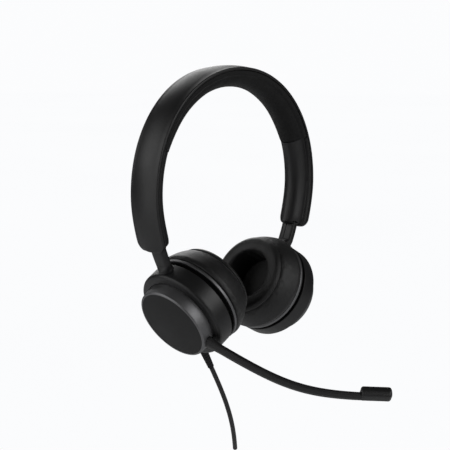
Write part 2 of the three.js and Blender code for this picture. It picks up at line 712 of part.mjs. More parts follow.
// ---- Turret and boom, which turn together on the right cup ----
function turret() {
  const narrow = TURRET_RADIUS - TURRET_DRAFT;
  const low = SEAT_Z + 4 * FIT;
  const body = turned([
    [AXLE_BORE, AXLE_LOW],
    [AXLE_RADIUS, AXLE_LOW],
    [AXLE_RADIUS, low],
    [TURRET_RADIUS, low],
    [narrow, TURRET_TOP - 0.7],
    [narrow - 0.7, TURRET_TOP],
    [CAP_RADIUS + FIT, TURRET_TOP - 0.3],
    [CAP_RADIUS + FIT, low + 1.6],
    [AXLE_BORE, low + 1.6],
  ]);
  const window = block(roundedRectangle(8, 6.6, 0.3, 1), 18.8, 22.4).translate(TURRET_RADIUS, 0, 0);
  return shaped(body, { cut: [window] });
}

function turretCap() {
  const face = TURRET_TOP - 0.2;
  return turned([[0, 22.6], [CAP_RADIUS, 22.6], [CAP_RADIUS, face - 0.3], [CAP_RADIUS - 0.3, face], [0, face]]);
}

function frictionWasher() {
  const [low, high] = [SEAT_Z + FIT, SEAT_Z + 3 * FIT];
  return turned([[11, low], [20, low], [20, high], [11, high]], SMALL_ROUND);
}

const BOOM_LINE = new THREE.CubicBezierCurve3(
  ...[BOOM_ROOT, BOOM_ROOT_PULL, BOOM_TIP_PULL, BOOM_TIP].map(([x, z]) => new THREE.Vector3(x, 0, z)),
);
const MIC_FROM = 1 - MIC_LENGTH / BOOM_LINE.getLength(); // share of the boom's line

// A stretch of the flattened boom, in the boom's frame: x outwards from the turret, y upwards.
function boomTube(from, to, extra, steps) {
  const section = roundedRectangle(1, 1, 0.4, 2);
  return swept(section, steps, (x, y, t) => {
    const share = from + (to - from) * t;
    const flare = 2.4 * Math.max(0, 1 - share / 0.08) ** 2;
    const height = THREE.MathUtils.lerp(...BOOM_HEIGHT, share) + flare + 2 * extra;
    const thickness = THREE.MathUtils.lerp(...BOOM_THICKNESS, share) + 2 * extra;
    const heading = BOOM_LINE.getTangentAt(share);
    const out = new THREE.Vector3(-heading.z, 0, heading.x);
    return BOOM_LINE.getPointAt(share).addScaledVector(out, y * thickness).setY(x * height);
  });
}

const BOOM_SOCKET = 4 / BOOM_LINE.getLength(); // the slimmer end that plugs into the microphone
const SOCKET_SLIMMING = 0.8;

function boomArm() {
  const tongue = block(roundedRectangle(8, 5.8, 0.3, 1), 19.1, 22.1).translate(22.5, 0, 0);
  const anchor = block(roundedRectangle(2.4, 9, 0.3, 1), 18.6, 22.2).translate(20.4, 0, 0);
  const plug = boomTube(MIC_FROM - BOOM_SOCKET / 4, MIC_FROM + BOOM_SOCKET, -SOCKET_SLIMMING, 2);
  return shaped(boomTube(0, MIC_FROM, 0, 18), { joined: [tongue, anchor, plug] });
}

// The microphone's frame: x along it, y upwards, z outwards, from where it meets the boom.
function micFrame() {
  const from = BOOM_LINE.getPointAt(MIC_FROM);
  const along = BOOM_LINE.getPointAt(1).sub(from).normalize();
  const up = new THREE.Vector3(0, 1, 0);
  return new THREE.Matrix4().makeBasis(along, up, along.clone().cross(up)).setPosition(from);
}

function micHousing() {
  const step = (MIC_HEIGHT - BOOM_HEIGHT[1]) / 2;
  const section = roundedRectangle(MIC_THICKNESS, MIC_HEIGHT, 2.2, 3);
  const body = block(section, FIT, MIC_LENGTH).rotateY(Math.PI / 2).translate(0, step, -MIC_INSET);
  const chamber = rodAlongZ(MIC_CAPSULE + FIT, -MIC_THICKNESS - MIC_INSET, 0.6 - MIC_INSET, MIC_PORT_X, step);
  const socket = boomTube(MIC_FROM - BOOM_SOCKET, MIC_FROM + 1.1 * BOOM_SOCKET, FIT - SOCKET_SLIMMING, 3);
  return shaped(body.applyMatrix4(micFrame()), {
    cut: [chamber.applyMatrix4(micFrame()), socket],
  });
}

function micCapsule() {
  const step = (MIC_HEIGHT - BOOM_HEIGHT[1]) / 2;
  return rodAlongZ(MIC_CAPSULE, -2 - MIC_INSET, 0.3 - MIC_INSET, MIC_PORT_X, step).applyMatrix4(micFrame());
}

function micGrille() {
  const step = (MIC_HEIGHT - BOOM_HEIGHT[1]) / 2;
  const face = -MIC_THICKNESS / 2 - MIC_INSET;
  return rodAlongZ(MIC_CAPSULE, face, -2.3 - MIC_INSET, MIC_PORT_X, step).applyMatrix4(micFrame());
}

// ---- Cord side of the right cup ----
function circuitBoard() {
  const plate = block(roundedRectangle(16, 9, 1, 2), BOARD_Z, BOARD_Z + 1).translate(0, -19, 0);
  const chip = block(roundedRectangle(5, 5, 0.3, 1), BOARD_Z - 1, BOARD_Z + 0.5).translate(0, -19, 0);
  return shaped(plate, { joined: [chip] });
}

// The rubber boot: a collar inside the drum, and ribs that narrow down the cord.
function cordBoot(stemX) {
  const bore = CORD_RADIUS + FIT;
  const top = -DRUM_RADIUS - 0.5;
  const pitch = (top - CORD_BOOT_END) / BOOT_RIBS;
  const ribs = Array.from({ length: BOOT_RIBS }, (_, i) => {
    const high = top - i * pitch;
    const radius = THREE.MathUtils.lerp(BOOT_NECK, BOOT_TIP, i / (BOOT_RIBS - 1));
    return [[radius, high], [radius, high - 0.6 * pitch], [radius - 0.4, high - 0.7 * pitch]];
  });
  const collar = BOOT_NECK + 0.6;
  return turnedAlongY([
    [bore, 2.8 - INSIDE],
    [collar, 2.8 - INSIDE],
    [collar, 1.6 - INSIDE],
    [BOOT_NECK, 1.6 - INSIDE],
    ...ribs.flat(),
    [bore, CORD_BOOT_END],
  ], stemX);
}

function cord(stemX) {
  const bends = [[0, -24], [0, -36], [0, -50], [-0.5, -68], [-2.8, -87], [-7.8, -107], [-14.8, -126]];
  const path = new THREE.CatmullRomCurve3(
    bends.map(([x, y]) => new THREE.Vector3(stemX + x, y, STEM_Z)),
  );
  const round = new THREE.Shape().absarc(0, 0, CORD_RADIUS, 0, 2 * Math.PI);
  return new THREE.ExtrudeGeometry(round, { steps: 16, curveSegments: 5, extrudePath: path });
}

// ---- Assembly ----
function headband() {
  const group = new THREE.Group();
  group.add(
    named("band_shell", bandShell(), satinBlack()),
    named("spring_strip", springStrip(), springSteel()),
    named("head_pad", headPad(), leatherette()),
    named("link_wire", linkWire(), rubber()),
  );
  for (const [turn, side] of [[0, "right"], [Math.PI, "left"]]) {
    const leg = new THREE.Group();
    leg.rotation.z = turn;
    leg.add(named("leg_cover_" + side, legCover(), satinBlack()));
    group.add(leg);
  }
  return group;
}

function arm(side, name) {
  const frame = cupFrame(side, 0);
  frame.add(
    named("slider_arm_" + name, sliderArm(), satinBlack()),
    named("swivel_clip_" + name, swivelClip(), springSteel()),
    named("slider_guide_" + name, sliderGuide(), nylon()),
    named("detent_spring_" + name, detentSpring(), springSteel()),
  );
  return frame;
}

function cup(side, name) {
  const frame = cupFrame(side, CUP_FORWARD);
  const stemX = -side * CUP_FORWARD;
  frame.add(
    named("cup_housing_" + name, cupHousing(stemX, side > 0), satinBlack()),
    named("swivel_bush_" + name, swivelBush(stemX), mattBlack()),
    named("baffle_" + name, baffle(), mattBlack()),
    named("cushion_ring_" + name, cushionRing(), satinBlack()),
    named("ear_cushion_" + name, earCushion(), leatherette()),
    named("speaker_cloth_" + name, speakerCloth(), darkCloth()),
    named("speaker_frame_" + name, speakerFrame(), mattBlack()),
    named("speaker_magnet_" + name, speakerMagnet(), springSteel()),
    named("speaker_cone_" + name, speakerCone(), paper()),
    named("retaining_ring_" + name, retainingRing(), nylon()),
  );
  screwPlaces().forEach((place, i) => {
    frame.add(named(`baffle_screw_${name}_${i + 1}`, baffleScrew(place), brass()));
  });
  return frame;
}

function turretAndBoom() {
  const turning = new THREE.Group();
  turning.rotation.z = -BOOM_DROP;
  turning.add(
    named("turret", turret(), satinBlack()),
    named("turret_cap", turretCap(), mattBlack()),
    named("friction_washer", frictionWasher(), rubber()),
    named("boom_arm", boomArm(), mattBlack()),
    named("mic_housing", micHousing(), satinBlack()),
    named("mic_capsule", micCapsule(), springSteel()),
    named("mic_grille", micGrille(), micGrey()),
  );
  return turning;
}

const headset = new THREE.Group();
const rightCup = cup(1, "right");
const leftCup = cup(-1, "left");
rightCup.add(
  turretAndBoom(),
  named("circuit_board", circuitBoard(), boardGreen()),
  named("cord_boot", cordBoot(-CUP_FORWARD), rubber()),
  named("cord", cord(-CUP_FORWARD), darkCloth()),
);
leftCup.add(named("outer_cap_left", outerCap(), satinBlack()));
headset.add(headband(), arm(1, "right"), arm(-1, "left"), rightCup, leftCup);

export default headset;
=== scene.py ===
"""The looks of a corded office headset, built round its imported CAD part.

Sizes are in millimetres in the row frame: the origin is the middle of the head pad's underside at
the crown, +X is the wearer's right, +Y forwards and +Z up. A cup has a frame of its own: x along
its disc in the fore-aft direction, y up the disc along the stem, z outwards from the head.
"""

import json
import math

import bmesh
import bpy
import numpy as np
from mathutils import Matrix, Vector

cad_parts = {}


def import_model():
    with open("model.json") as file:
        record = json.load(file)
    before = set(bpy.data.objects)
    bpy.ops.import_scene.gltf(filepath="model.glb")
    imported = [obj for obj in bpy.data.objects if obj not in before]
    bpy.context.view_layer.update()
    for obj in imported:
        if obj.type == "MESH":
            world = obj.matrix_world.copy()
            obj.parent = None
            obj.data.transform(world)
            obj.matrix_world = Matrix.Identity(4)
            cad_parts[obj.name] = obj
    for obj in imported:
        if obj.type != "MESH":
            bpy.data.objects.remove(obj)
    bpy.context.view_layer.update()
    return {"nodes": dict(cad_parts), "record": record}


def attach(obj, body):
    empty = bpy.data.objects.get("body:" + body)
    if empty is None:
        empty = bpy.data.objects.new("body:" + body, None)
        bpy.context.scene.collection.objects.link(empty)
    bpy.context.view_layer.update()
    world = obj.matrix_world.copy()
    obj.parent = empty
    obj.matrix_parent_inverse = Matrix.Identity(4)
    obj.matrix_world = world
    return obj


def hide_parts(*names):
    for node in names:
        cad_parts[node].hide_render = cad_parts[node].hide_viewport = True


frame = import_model()
scene = bpy.context.scene

MM = 0.001

# ---- Driving dimensions, as in the CAD part. Heights in a cup are along z in its frame ----
FIT = 0.3  # clearance between neighbouring pieces
WALL = 1.8  # moulded shells
BAND_WIDTH = 22.6
BAND_TOP = 13.0  # height of the crown's outer face
BAND_SPAN = 72.0  # widest reach of the outer face from the midplane
BAND_WAIST_Z = -62.0  # height of that widest point
BAND_END = (65.8, -94.6)  # bottom end of a leg's outer face, as (x, z)
BAND_END_LEAN = math.radians(17)
CROWN_PULL = 41.3  # how far the crown stays flat before it turns down
SIDE_PULL = 43.1  # how far a side stays upright before it turns in
LEG_PULL = 11.0
SHELL_DEPTH = 2.2
SHELL_CROWN = 1.0  # how much higher the outer face's middle stands than its sides
RIM_DEPTH = 3.5  # depth of the flat rims beside a leg's rounded back
LEG_DEPTH = 13.2
LEG_CORNER = 6.0  # rounding of a leg's bottom corners, seen from the side
BACK_HALF_WIDTH = 8.1  # the rounded back of a leg
VALLEY_RADIUS = 1.5  # rounding between a leg's rim and its back
COVER_WALL = 1.4
SEAM_AT = 86.4  # from the crown along the band to where the pad meets the leg covers
PAD_GROOVE = (5.1, 5.4)  # half width and bottom of the pad's groove for the spring strip
PAD_SHOULDER = 2.6  # height of the pad's straight sides
PAD_SLIMMING = 0.13  # share of its width that the pad loses towards the seam
PAD_SLIM_LENGTH = 24.0  # the stretch in which it does

EAR_DROP = 127.9  # from the crown to the cups' centres
CUP_X = 30.1
CUP_TILT = math.radians(29.3)  # the cups' outer faces look down by this much
CUP_FORWARD = 2.2  # the cups' centres stand this far in front of their stems
DRUM_RADIUS = 30.0
DRUM_LOW = 5.0  # the drum's edge nearest the cushion
SHOULDER_Z = 17.1  # top of the drum, beside the turret
SHOULDER_RADIUS = 1.2
LAND_FALL = 0.8  # how far the drum's face falls away from the turret to its outer edge
SEAT_Z = 15.4  # the face that the turret sits over
SEAT_FLOOR = 1.5
TURRET_RADIUS = 24.6
TURRET_TOP = 25.1
TURRET_DRAFT = 0.5  # how much narrower the turret is at its top
TURRET_WELL = 6.9  # depth of the turret's hollow under its face plate
LEFT_ROOF = 2.4  # thickness of the left cap's face
AXLE_RADIUS = 8.7  # the tube that the turret turns on
AXLE_BORE = 7.2
AXLE_LOW = 11.2
CAP_RADIUS = 22.4
CAP_LOW = 22.6
RING_RADIUS = 30.2  # the cushion's plastic ring, whose edge shows as a thin band
RING_HEIGHT = 2.0
RING_PLATE = 0.8
BAFFLE_FLANGE = (0.8, 0.8)  # inset from the drum's outline, and thickness
BAFFLE_WALL = 1.4  # inset of the baffle's wall from the drum's outline
CUSHION_RADIUS = 30.7
CUSHION_FRONT_RADIUS = 25.7
CUSHION_SEAM_Z = -15.4
CUSHION_FRONT_Z = -19.2
CUSHION_HOLE = 15.9
SPEAKER_RADIUS = 15.0

STEM_Z = 10.5  # the stem enters the middle of the drum's wall
STEM_WIDTH = 10.4  # the arm's thick lower part, which shows
STEM_THICKNESS = 4.8
STEM_SQUARENESS = 0.45  # power of the bar's rounded section; 1 is an ellipse
STEM_GROOVE = 2.4  # width of the groove down the bar's inner face
STEM_SLOT = (36.0, 56.0)  # the leg's opening for the bar, along the arm's line
HUB_RADIUS = 4.5  # the round hub that turns on a spot face in the drum's wall
HUB_LOW = 29.2
HUB_FLARE = 30.9  # from here up the hub changes into the bar
HUB_HIGH = 35.0
TONGUE_WIDTH = 8.0  # the thinner part of the arm, inside the leg
TONGUE_THICKNESS = 2.2
TONGUE_GROOVE = 1.6
ARM_BEND = 90.0  # the arm and the leg share this bend, which the arm slides round
ARM_WIDE = 17.5  # length of the wide part, from the drum up
ARM_LENGTH = 50.0
NECK_RADIUS = 1.7  # the pivot that the cup swivels on
NECK_LOW = 22.6

BOOM_DROP = math.radians(30)  # the boom points this far below forwards
BOOM_LINE = [(25, 20.8), (80, 17.1), (88.5, 14.7), (128.9, -16.4)]  # out from the axis, and z
BOOM_HEIGHT = (7.4, 6.2)  # at the root and at the tip
BOOM_THICKNESS = (4.2, 3.4)
BOOM_SWELL = (2.4, 0.8)  # added to height and thickness at the root
BOOM_SWELL_SHARE = 0.08  # the share of the boom in which that fades
BOOM_SUNK = 1.2  # how far the root reaches into the turret
MIC_LENGTH = 18.0
MIC_HEIGHT = 8.4
MIC_THICKNESS = 6.4
MIC_INSET = 1.2  # how far its middle stands inwards of the boom's
MIC_PORT_X = 12.5  # along the microphone
MIC_PORT = 2.6
CORD_RADIUS = 1.5
CORD_TOP = -24.0  # the cord's ends, measured down the cup's disc
CORD_END = -126.0
CORD_BOOT_END = -48.0
BOOT_RIBS = 9
BOOT_NECK = 2.6
BOOT_TIP = 2.0
BOOT_CLIP = (-25.4, -26.6)  # the boot's flange inside the drum's wall
BOOT_GROOVE = 0.45  # depth between ribs
BUSH_RADIUS = 2.7  # the bush that the neck turns in

ROUND = 160  # facets round a cup
CUSHION_ROUND = 132
END_STEPS = (0.15, 0.4, 0.8, 1.4, 2.2, 3.2, 4.4)  # closer sections near a rounded end
CLOTH_STEPS = 20

# ---- Camera, seen from the front right of the wearer ----
CAMERA_AZIMUTH = 2.3211
CAMERA_ELEVATION = 0.1323
CAMERA_DISTANCE = 634.85
CAMERA_AIM = Vector((0, 2.2, -67.9))
CAMERA_LENS = 81.26
CAMERA_SHIFT = (-0.0132, -0.0632)

# ---- Studio light. Each lamp's direction is told in the camera's right, up and back; watts ----
SOFTBOXES = {
    "key": ((0.86, 0.36, 0.40), 1.9),
    "left_front": ((-0.66, 0.20, 0.72), 0.9),
    "right_front": ((0.60, 0.10, 0.80), 0.9),
    "left": ((-0.94, -0.08, 0.34), 0.7),
    "upper_left": ((-0.88, 0.42, 0.15), 1.1),
    "behind": ((-0.2, 0.42, -0.88), 1.2),
    "top_back": ((-0.22, 0.72, -0.66), 0.9),
}
SOFTBOX_DISTANCE = 0.9  # metres, from a point a little below the camera's aim
SOFTBOX_SIZE = 0.45  # metres
SOFTBOX_DROP = 0.03  # metres
STUDIO_GLOW = 0.055
BACKDROP = (0.970, 0.975, 0.985, 1)
FLOOR_Z = -330
FLOOR_REACH = 9000


# ---- Materials ----
def add(tree, kind, **inputs):
    """A new shader node. An input is a value, or a socket to link from."""
    made = tree.nodes.new(kind)
    for name, value in inputs.items():
        socket = made.inputs[name.replace("_", " ")]
        if isinstance(value, bpy.types.NodeSocket):
            tree.links.new(value, socket)
        else:
            socket.default_value = value
    return made


def blank(name):
    """A material with its tree, its principled shader and object coordinates in millimetres."""
    material = bpy.data.materials.new(name)
    material.use_nodes = True
    tree = material.node_tree
    coordinates = add(tree, "ShaderNodeTexCoord").outputs["Object"]
    scaled = add(tree, "ShaderNodeMapping", Vector=coordinates, Scale=(1 / MM, 1 / MM, 1 / MM))
    return material, tree, tree.nodes["Principled BSDF"], scaled.outputs[0]


def noise(tree, where, size, detail=3.0):
    """Soft noise whose features have a size in millimetres."""
    return add(tree, "ShaderNodeTexNoise", Vector=where, Scale=1 / size, Detail=detail).outputs["Fac"]


def cells(tree, where, size, feature="F1"):
    """Distances in a pattern of cells whose size is in millimetres."""
    made = add(tree, "ShaderNodeTexVoronoi", Vector=where, Scale=1 / size)
    made.feature = feature
    return made.outputs["Distance"]


def remap(tree, value, low, high, start=0.3, end=0.7):
    """A value that runs from start to end, spread from low to high."""
    made = add(tree, "ShaderNodeMapRange", Value=value, From_Min=start, From_Max=end, To_Min=low, To_Max=high)
    return made.outputs["Result"]


def maths(tree, operation, first, second=0):
    """The result of a sum on two values, each a number or a socket."""
    made = tree.nodes.new("ShaderNodeMath")
    made.operation = operation
    for socket, value in zip(made.inputs, (first, second)):
        if isinstance(value, bpy.types.NodeSocket):
            tree.links.new(value, socket)
        else:
            socket.default_value = value
    return made.outputs[0]


def tinted(tree, share, dark, light):
    """A mix of two colours. The first may be a socket."""
    made = tree.nodes.new("ShaderNodeMix")
    made.data_type = "RGBA"
    tree.links.new(share, made.inputs[0])
    if isinstance(dark, bpy.types.NodeSocket):
        tree.links.new(dark, made.inputs[6])
    else:
        made.inputs[6].default_value = (*dark, 1)
    made.inputs[7].default_value = (*light, 1)
    return made.outputs[2]


def shaded(colour, share):
    """A colour made darker or lighter by a share."""
    return [share * channel for channel in colour]


def bumped(tree, shader, height, depth):
    """Bump of a depth in millimetres."""
    made = add(tree, "ShaderNodeBump", Height=height, Strength=1.0, Distance=depth * MM)
    tree.links.new(made.outputs["Normal"], shader.inputs["Normal"])


def moulded(name, colour, roughness, grain=0.35, depth=0.02, specular=0.5, metallic=0.0):
    """Spark-eroded plastic: fine grain, slow changes of gloss, and a few specks of dust."""
    material, tree, shader, where = blank(name)
    cloud = noise(tree, where, 16)
    fine = noise(tree, where, grain, 4)
    speck = remap(tree, noise(tree, where, 0.9, 1), 0, 0.35, 0.74, 0.8)
    tone = tinted(tree, remap(tree, cloud, 0, 1), shaded(colour, 0.86), shaded(colour, 1.16))
    tree.links.new(tinted(tree, speck, tone, shaded(colour, 2.2)), shader.inputs["Base Color"])
    tree.links.new(remap(tree, cloud, roughness - 0.03, roughness + 0.03), shader.inputs["Roughness"])
    shader.inputs["Specular IOR Level"].default_value = specular
    shader.inputs["Metallic"].default_value = metallic
    bumped(tree, shader, fine, depth)
    return material


def leatherette(name, gloss=0.0):
    """Soft coated cloth: pebbled grain with pores, and a faint sheen."""
    material, tree, shader, where = blank(name)
    drift = add(tree, "ShaderNodeTexNoise", Vector=where, Scale=0.8, Detail=2.0)
    warped = add(tree, "ShaderNodeMapping", Vector=drift.outputs["Color"], Scale=(0.5, 0.5, 0.5))
    bent = tree.nodes.new("ShaderNodeVectorMath")
    tree.links.new(where, bent.inputs[0])
    tree.links.new(warped.outputs[0], bent.inputs[1])
    pebble = remap(tree, cells(tree, bent.outputs[0], 0.75, "DISTANCE_TO_EDGE"), 0, 1, 0, 0.22)
    pores = remap(tree, noise(tree, where, 0.25, 2), 0, 1, 0.3, 0.62)
    grain = maths(tree, "ADD", pebble, maths(tree, "MULTIPLY", pores, 0.35))
    cloud = noise(tree, where, 11)
    tone = tinted(tree, remap(tree, pebble, 0, 1, 0, 1), (0.003, 0.003, 0.0032), (0.0065, 0.0065, 0.0068))
    tree.links.new(tone, shader.inputs["Base Color"])
    tree.links.new(remap(tree, cloud, 0.62 - gloss, 0.70 - gloss), shader.inputs["Roughness"])
    shader.inputs["Specular IOR Level"].default_value = 0.28 + gloss
    shader.inputs["Sheen Weight"].default_value = 0.05
    shader.inputs["Sheen Roughness"].default_value = 0.5
    bumped(tree, shader, grain, 0.05)
    return material


def knitted(name):
    """Speaker cloth: rows of fine open loops."""
    material, tree, shader, where = blank(name)
    split = add(tree, "ShaderNodeSeparateXYZ", Vector=where)
    across = maths(tree, "SINE", maths(tree, "MULTIPLY", split.outputs["Y"], 9.0))
    down = maths(tree, "SINE", maths(tree, "MULTIPLY", split.outputs["Z"], 9.0))
    weave = maths(tree, "MULTIPLY", across, down)
    tone = tinted(tree, remap(tree, weave, 0, 1, -1, 1), (0.020, 0.020, 0.020), (0.090, 0.090, 0.090))
    tree.links.new(tone, shader.inputs["Base Color"])
    tree.links.new(remap(tree, noise(tree, where, 3), 0.85, 0.97), shader.inputs["Roughness"])
    shader.inputs["Sheen Weight"].default_value = 0.12
    bumped(tree, shader, weave, 0.08)
    return material


def braided(name):
    """The cord's sleeve: two sets of threads that wind opposite ways, told by the piece's own uv."""
    material, tree, shader, where = blank(name)
    split = add(tree, "ShaderNodeSeparateXYZ", Vector=add(tree, "ShaderNodeUVMap").outputs["UV"])
    round_it = maths(tree, "MULTIPLY", split.outputs["X"], 2 * math.pi * 6)
    along = maths(tree, "MULTIPLY", split.outputs["Y"], 3.4)
    left = maths(tree, "SINE", maths(tree, "ADD", round_it, along))
    right = maths(tree, "SINE", maths(tree, "SUBTRACT", round_it, along))
    weave = maths(tree, "MAXIMUM", left, right)
    tone = tinted(tree, remap(tree, weave, 0, 1, -0.3, 1), (0.004, 0.004, 0.004), (0.022, 0.022, 0.023))
    tree.links.new(tone, shader.inputs["Base Color"])
    tree.links.new(remap(tree, noise(tree, where, 4), 0.6, 0.75), shader.inputs["Roughness"])
    shader.inputs["Sheen Weight"].default_value = 0.1
    bumped(tree, shader, weave, 0.15)
    return material


def metal(name, colour, roughness, brushed=True):
    """Rolled or turned metal with fine lines along it and a little tarnish."""
    material, tree, shader, where = blank(name)
    stretch = add(tree, "ShaderNodeMapping", Vector=where, Scale=(1, 14, 1) if brushed else (1, 1, 1))
    lines = noise(tree, stretch.outputs[0], 0.6, 4)
    tarnish = noise(tree, where, 5)
    tone = tinted(tree, remap(tree, tarnish, 0, 1), shaded(colour, 0.82), colour)
    tree.links.new(tone, shader.inputs["Base Color"])
    shader.inputs["Metallic"].default_value = 1.0
    tree.links.new(remap(tree, lines, roughness - 0.06, roughness + 0.08), shader.inputs["Roughness"])
    bumped(tree, shader, lines, 0.01)
    return material


def board(name):
    """A circuit board: solder resist with copper tracks showing through as lighter lines."""
    material, tree, shader, where = blank(name)
    tracks = remap(tree, cells(tree, where, 2.0, "DISTANCE_TO_EDGE"), 1, 0, 0.02, 0.07)
    tone = tinted(tree, tracks, (0.012, 0.10, 0.04), (0.05, 0.22, 0.08))
    tree.links.new(tone, shader.inputs["Base Color"])
    tree.links.new(remap(tree, noise(tree, where, 2), 0.3, 0.42), shader.inputs["Roughness"])
    bumped(tree, shader, tracks, 0.03)
    return material


def fibrous(name, dark, light, size):
    """Pressed paper or open foam."""
    material, tree, shader, where = blank(name)
    holes = cells(tree, where, size)
    tree.links.new(tinted(tree, remap(tree, holes, 0, 1, 0.1, 0.8), dark, light), shader.inputs["Base Color"])
    tree.links.new(remap(tree, noise(tree, where, 2), 0.85, 0.98), shader.inputs["Roughness"])
    bumped(tree, shader, holes, 0.12)
    return material


BLACK = (0.0080, 0.0080, 0.0085)
# Near black: painted shade, for the baffle in the shaded gap between the drum and the cushion.
SHADE_BLACK = (0.0015, 0.0015, 0.0015)
CHARCOAL = (0.0070, 0.0070, 0.0075)
RUBBER_BLACK = (0.0095, 0.0095, 0.0100)
GUNMETAL = (0.20, 0.20, 0.205)
IVORY = (0.60, 0.58, 0.54)
STEEL = (0.62, 0.63, 0.65)
BRASS = (0.55, 0.42, 0.17)

FINISHES = {
    "turned_plastic": moulded("turned_plastic", GUNMETAL, 0.50, depth=0.012, metallic=1.0),
    "satin_plastic": moulded("satin_plastic", BLACK, 0.42),
    "matt_plastic": moulded("matt_plastic", BLACK, 0.50, grain=0.45, depth=0.03),
    "leatherette": leatherette("leatherette", gloss=0.24),
    "pad_leatherette": leatherette("pad_leatherette"),
    # A dull near-black finish: painted shade for the baffle, where the gap under the drum lies in shadow.
    "shade_black_plastic": moulded("shade_black_plastic", SHADE_BLACK, 0.90, grain=0.45, depth=0.03, specular=0.1),
    "face_plastic": moulded("face_plastic", CHARCOAL, 0.52, specular=0.3),
    "speaker_cloth": knitted("speaker_cloth"),
    "cord_braid": braided("cord_braid"),
    "spring_steel": metal("spring_steel", STEEL, 0.28),
    "nylon": moulded("nylon", IVORY, 0.45),
    "brass": metal("brass", BRASS, 0.30, brushed=False),
    "board": board("board"),
    "rubber": moulded("rubber", RUBBER_BLACK, 0.66, grain=0.6, depth=0.03, specular=0.35),
    "paper_cone": fibrous("paper_cone", (0.02, 0.018, 0.016), (0.06, 0.055, 0.05), 0.5),
    "mic_foam": fibrous("mic_foam", (0.05, 0.05, 0.052), (0.22, 0.22, 0.23), 0.6),
}


# ---- Shapes ----
def softened(corners, radius=0.4, pieces=4, closed=True):
    """The corners of an outline with each one rounded. A corner is (x, y) or (x, y, its own radius)."""
    flat = [Vector(c[:2]) for c in corners]
    outline = []
    for i, here in enumerate(flat):
        own = corners[i][2] if len(corners[i]) > 2 else radius
        if own == 0 or (not closed and i in (0, len(flat) - 1)):
            outline.append(tuple(here))
            continue
        before = flat[i - 1] - here
        after = flat[(i + 1) % len(flat)] - here
        reach = min(own, before.length * 0.48, after.length * 0.48)
        start = here + before.normalized() * reach
        end = here + after.normalized() * reach
        for step in range(pieces + 1):
            t = step / pieces
            outline.append(tuple((1 - t) ** 2 * start + 2 * t * (1 - t) * here + t * t * end))
    return outline


def spaced(outline, gap):
    """A closed outline with points added so that none is further than a gap from the next."""
    finer = []
    for here, following in zip(outline, outline[1:] + outline[:1]):
        start = Vector(here)
        end = Vector(following)
        count = max(1, math.ceil((end - start).length / gap))
        finer += [tuple(start.lerp(end, i / count)) for i in range(count)]
    return finer


def skin(rows, joined=False):
    """Points and faces over rows of points. A row is a closed loop, or one point at a tip."""
    starts = np.cumsum([0] + [len(row) for row in rows])
    faces = []
    pairs = list(zip(range(len(rows) - 1), range(1, len(rows))))
    if joined:
        pairs.append((len(rows) - 1, 0))
    for a, b in pairs:
        count = max(len(rows[a]), len(rows[b]))
        for i in range(count):
            ring = [(a, i), (a, i + 1), (b, i + 1), (b, i)]
            face = [int(starts[row] + column % len(rows[row])) for row, column in ring]
            faces.append(list(dict.fromkeys(face)))
    return [point for row in rows for point in row], faces


def build(name, points, faces, place=None):
    """A mesh object from points in millimetres, with its faces turned outwards."""
    mesh = bpy.data.meshes.new(name)
    put = place or Matrix.Identity(4)
    mesh.from_pydata([(put @ Vector(p)) * MM for p in points], [], faces)
    made = bmesh.new()
    made.from_mesh(mesh)
    bmesh.ops.recalc_face_normals(made, faces=made.faces)
    made.to_mesh(mesh)
    made.free()
    piece = bpy.data.objects.new(name, mesh)
    scene.collection.objects.link(piece)
    return piece


def shade(piece, sharp=32):
    """Smooth shading, with edges sharper than an angle kept crisp."""
    made = bmesh.new()
    made.from_mesh(piece.data)
    for face in made.faces:
        face.smooth = True
    for edge in made.edges:
        edge.smooth = not edge.is_manifold or edge.calc_face_angle() < math.radians(sharp)
    made.to_mesh(piece.data)
    made.free()


def settle(piece, slot, body, *nodes, finish=None):
    """Gives a finished piece its material and its CAD body, in place of some CAD nodes."""
    piece.data.materials.clear()
    piece.data.materials.append(FINISHES[finish or slot])
    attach(piece, body)
    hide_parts(*nodes)
    return piece


def combined(piece, others, operation):
    """The piece with others cut from it or joined to it, worked out at a larger scale."""
    enlarged = 100
    for made in (piece, *others):
        made.data.transform(Matrix.Scale(enlarged, 4))
    for other in others:
        modifier = piece.modifiers.new("combine", "BOOLEAN")
        modifier.operation = operation
        modifier.solver = "MANIFOLD"
        modifier.object = other
    bpy.context.view_layer.update()
    evaluated = piece.evaluated_get(bpy.context.evaluated_depsgraph_get())
    mesh = bpy.data.meshes.new_from_object(evaluated)
    mesh.transform(Matrix.Scale(1 / enlarged, 4))
    piece.modifiers.clear()
    piece.data = mesh
    for other in others:
        bpy.data.objects.remove(other)
    return piece


def lathe(name, profile, place, facets=ROUND):
    """A profile of (radius, z) turned round z. It closes on itself, or starts and ends on the axis."""
    angles = [2 * math.pi * i / facets for i in range(facets)]
    rows = [
        [(0, 0, z)] if r == 0 else [(r * math.cos(a), r * math.sin(a), z) for a in angles]
        for r, z in profile
    ]
    return build(name, *skin(rows, joined=profile[0][0] != 0), place)


def swept(name, sections, place=None):
    """A solid through closed sections of 3-D points, with flat ends."""
    middle = [[tuple(np.mean(section, axis=0))] for section in (sections[0], sections[-1])]
    return build(name, *skin([middle[0], *sections, middle[1]]), place)


def rod(name, radius, start, end, facets=48):
    """A plain round bar between two points."""
    start, end = Vector(start), Vector(end)
    turn = (end - start).to_track_quat("Z", "Y").to_matrix().to_4x4()
    place = Matrix.Translation(start) @ turn
    length = (end - start).length
    return lathe(name, [(0, 0), (radius, 0), (radius, length), (0, length)], place, facets)


def bezier(corners, t):
    """Points on a cubic curve, as an array of (x, y)."""
    a, b, c, d = [np.array(corner, float) for corner in corners]
    t = np.atleast_1d(t)[:, None]
    return (1 - t) ** 3 * a + 3 * t * (1 - t) ** 2 * b + 3 * t**2 * (1 - t) * c + t**3 * d


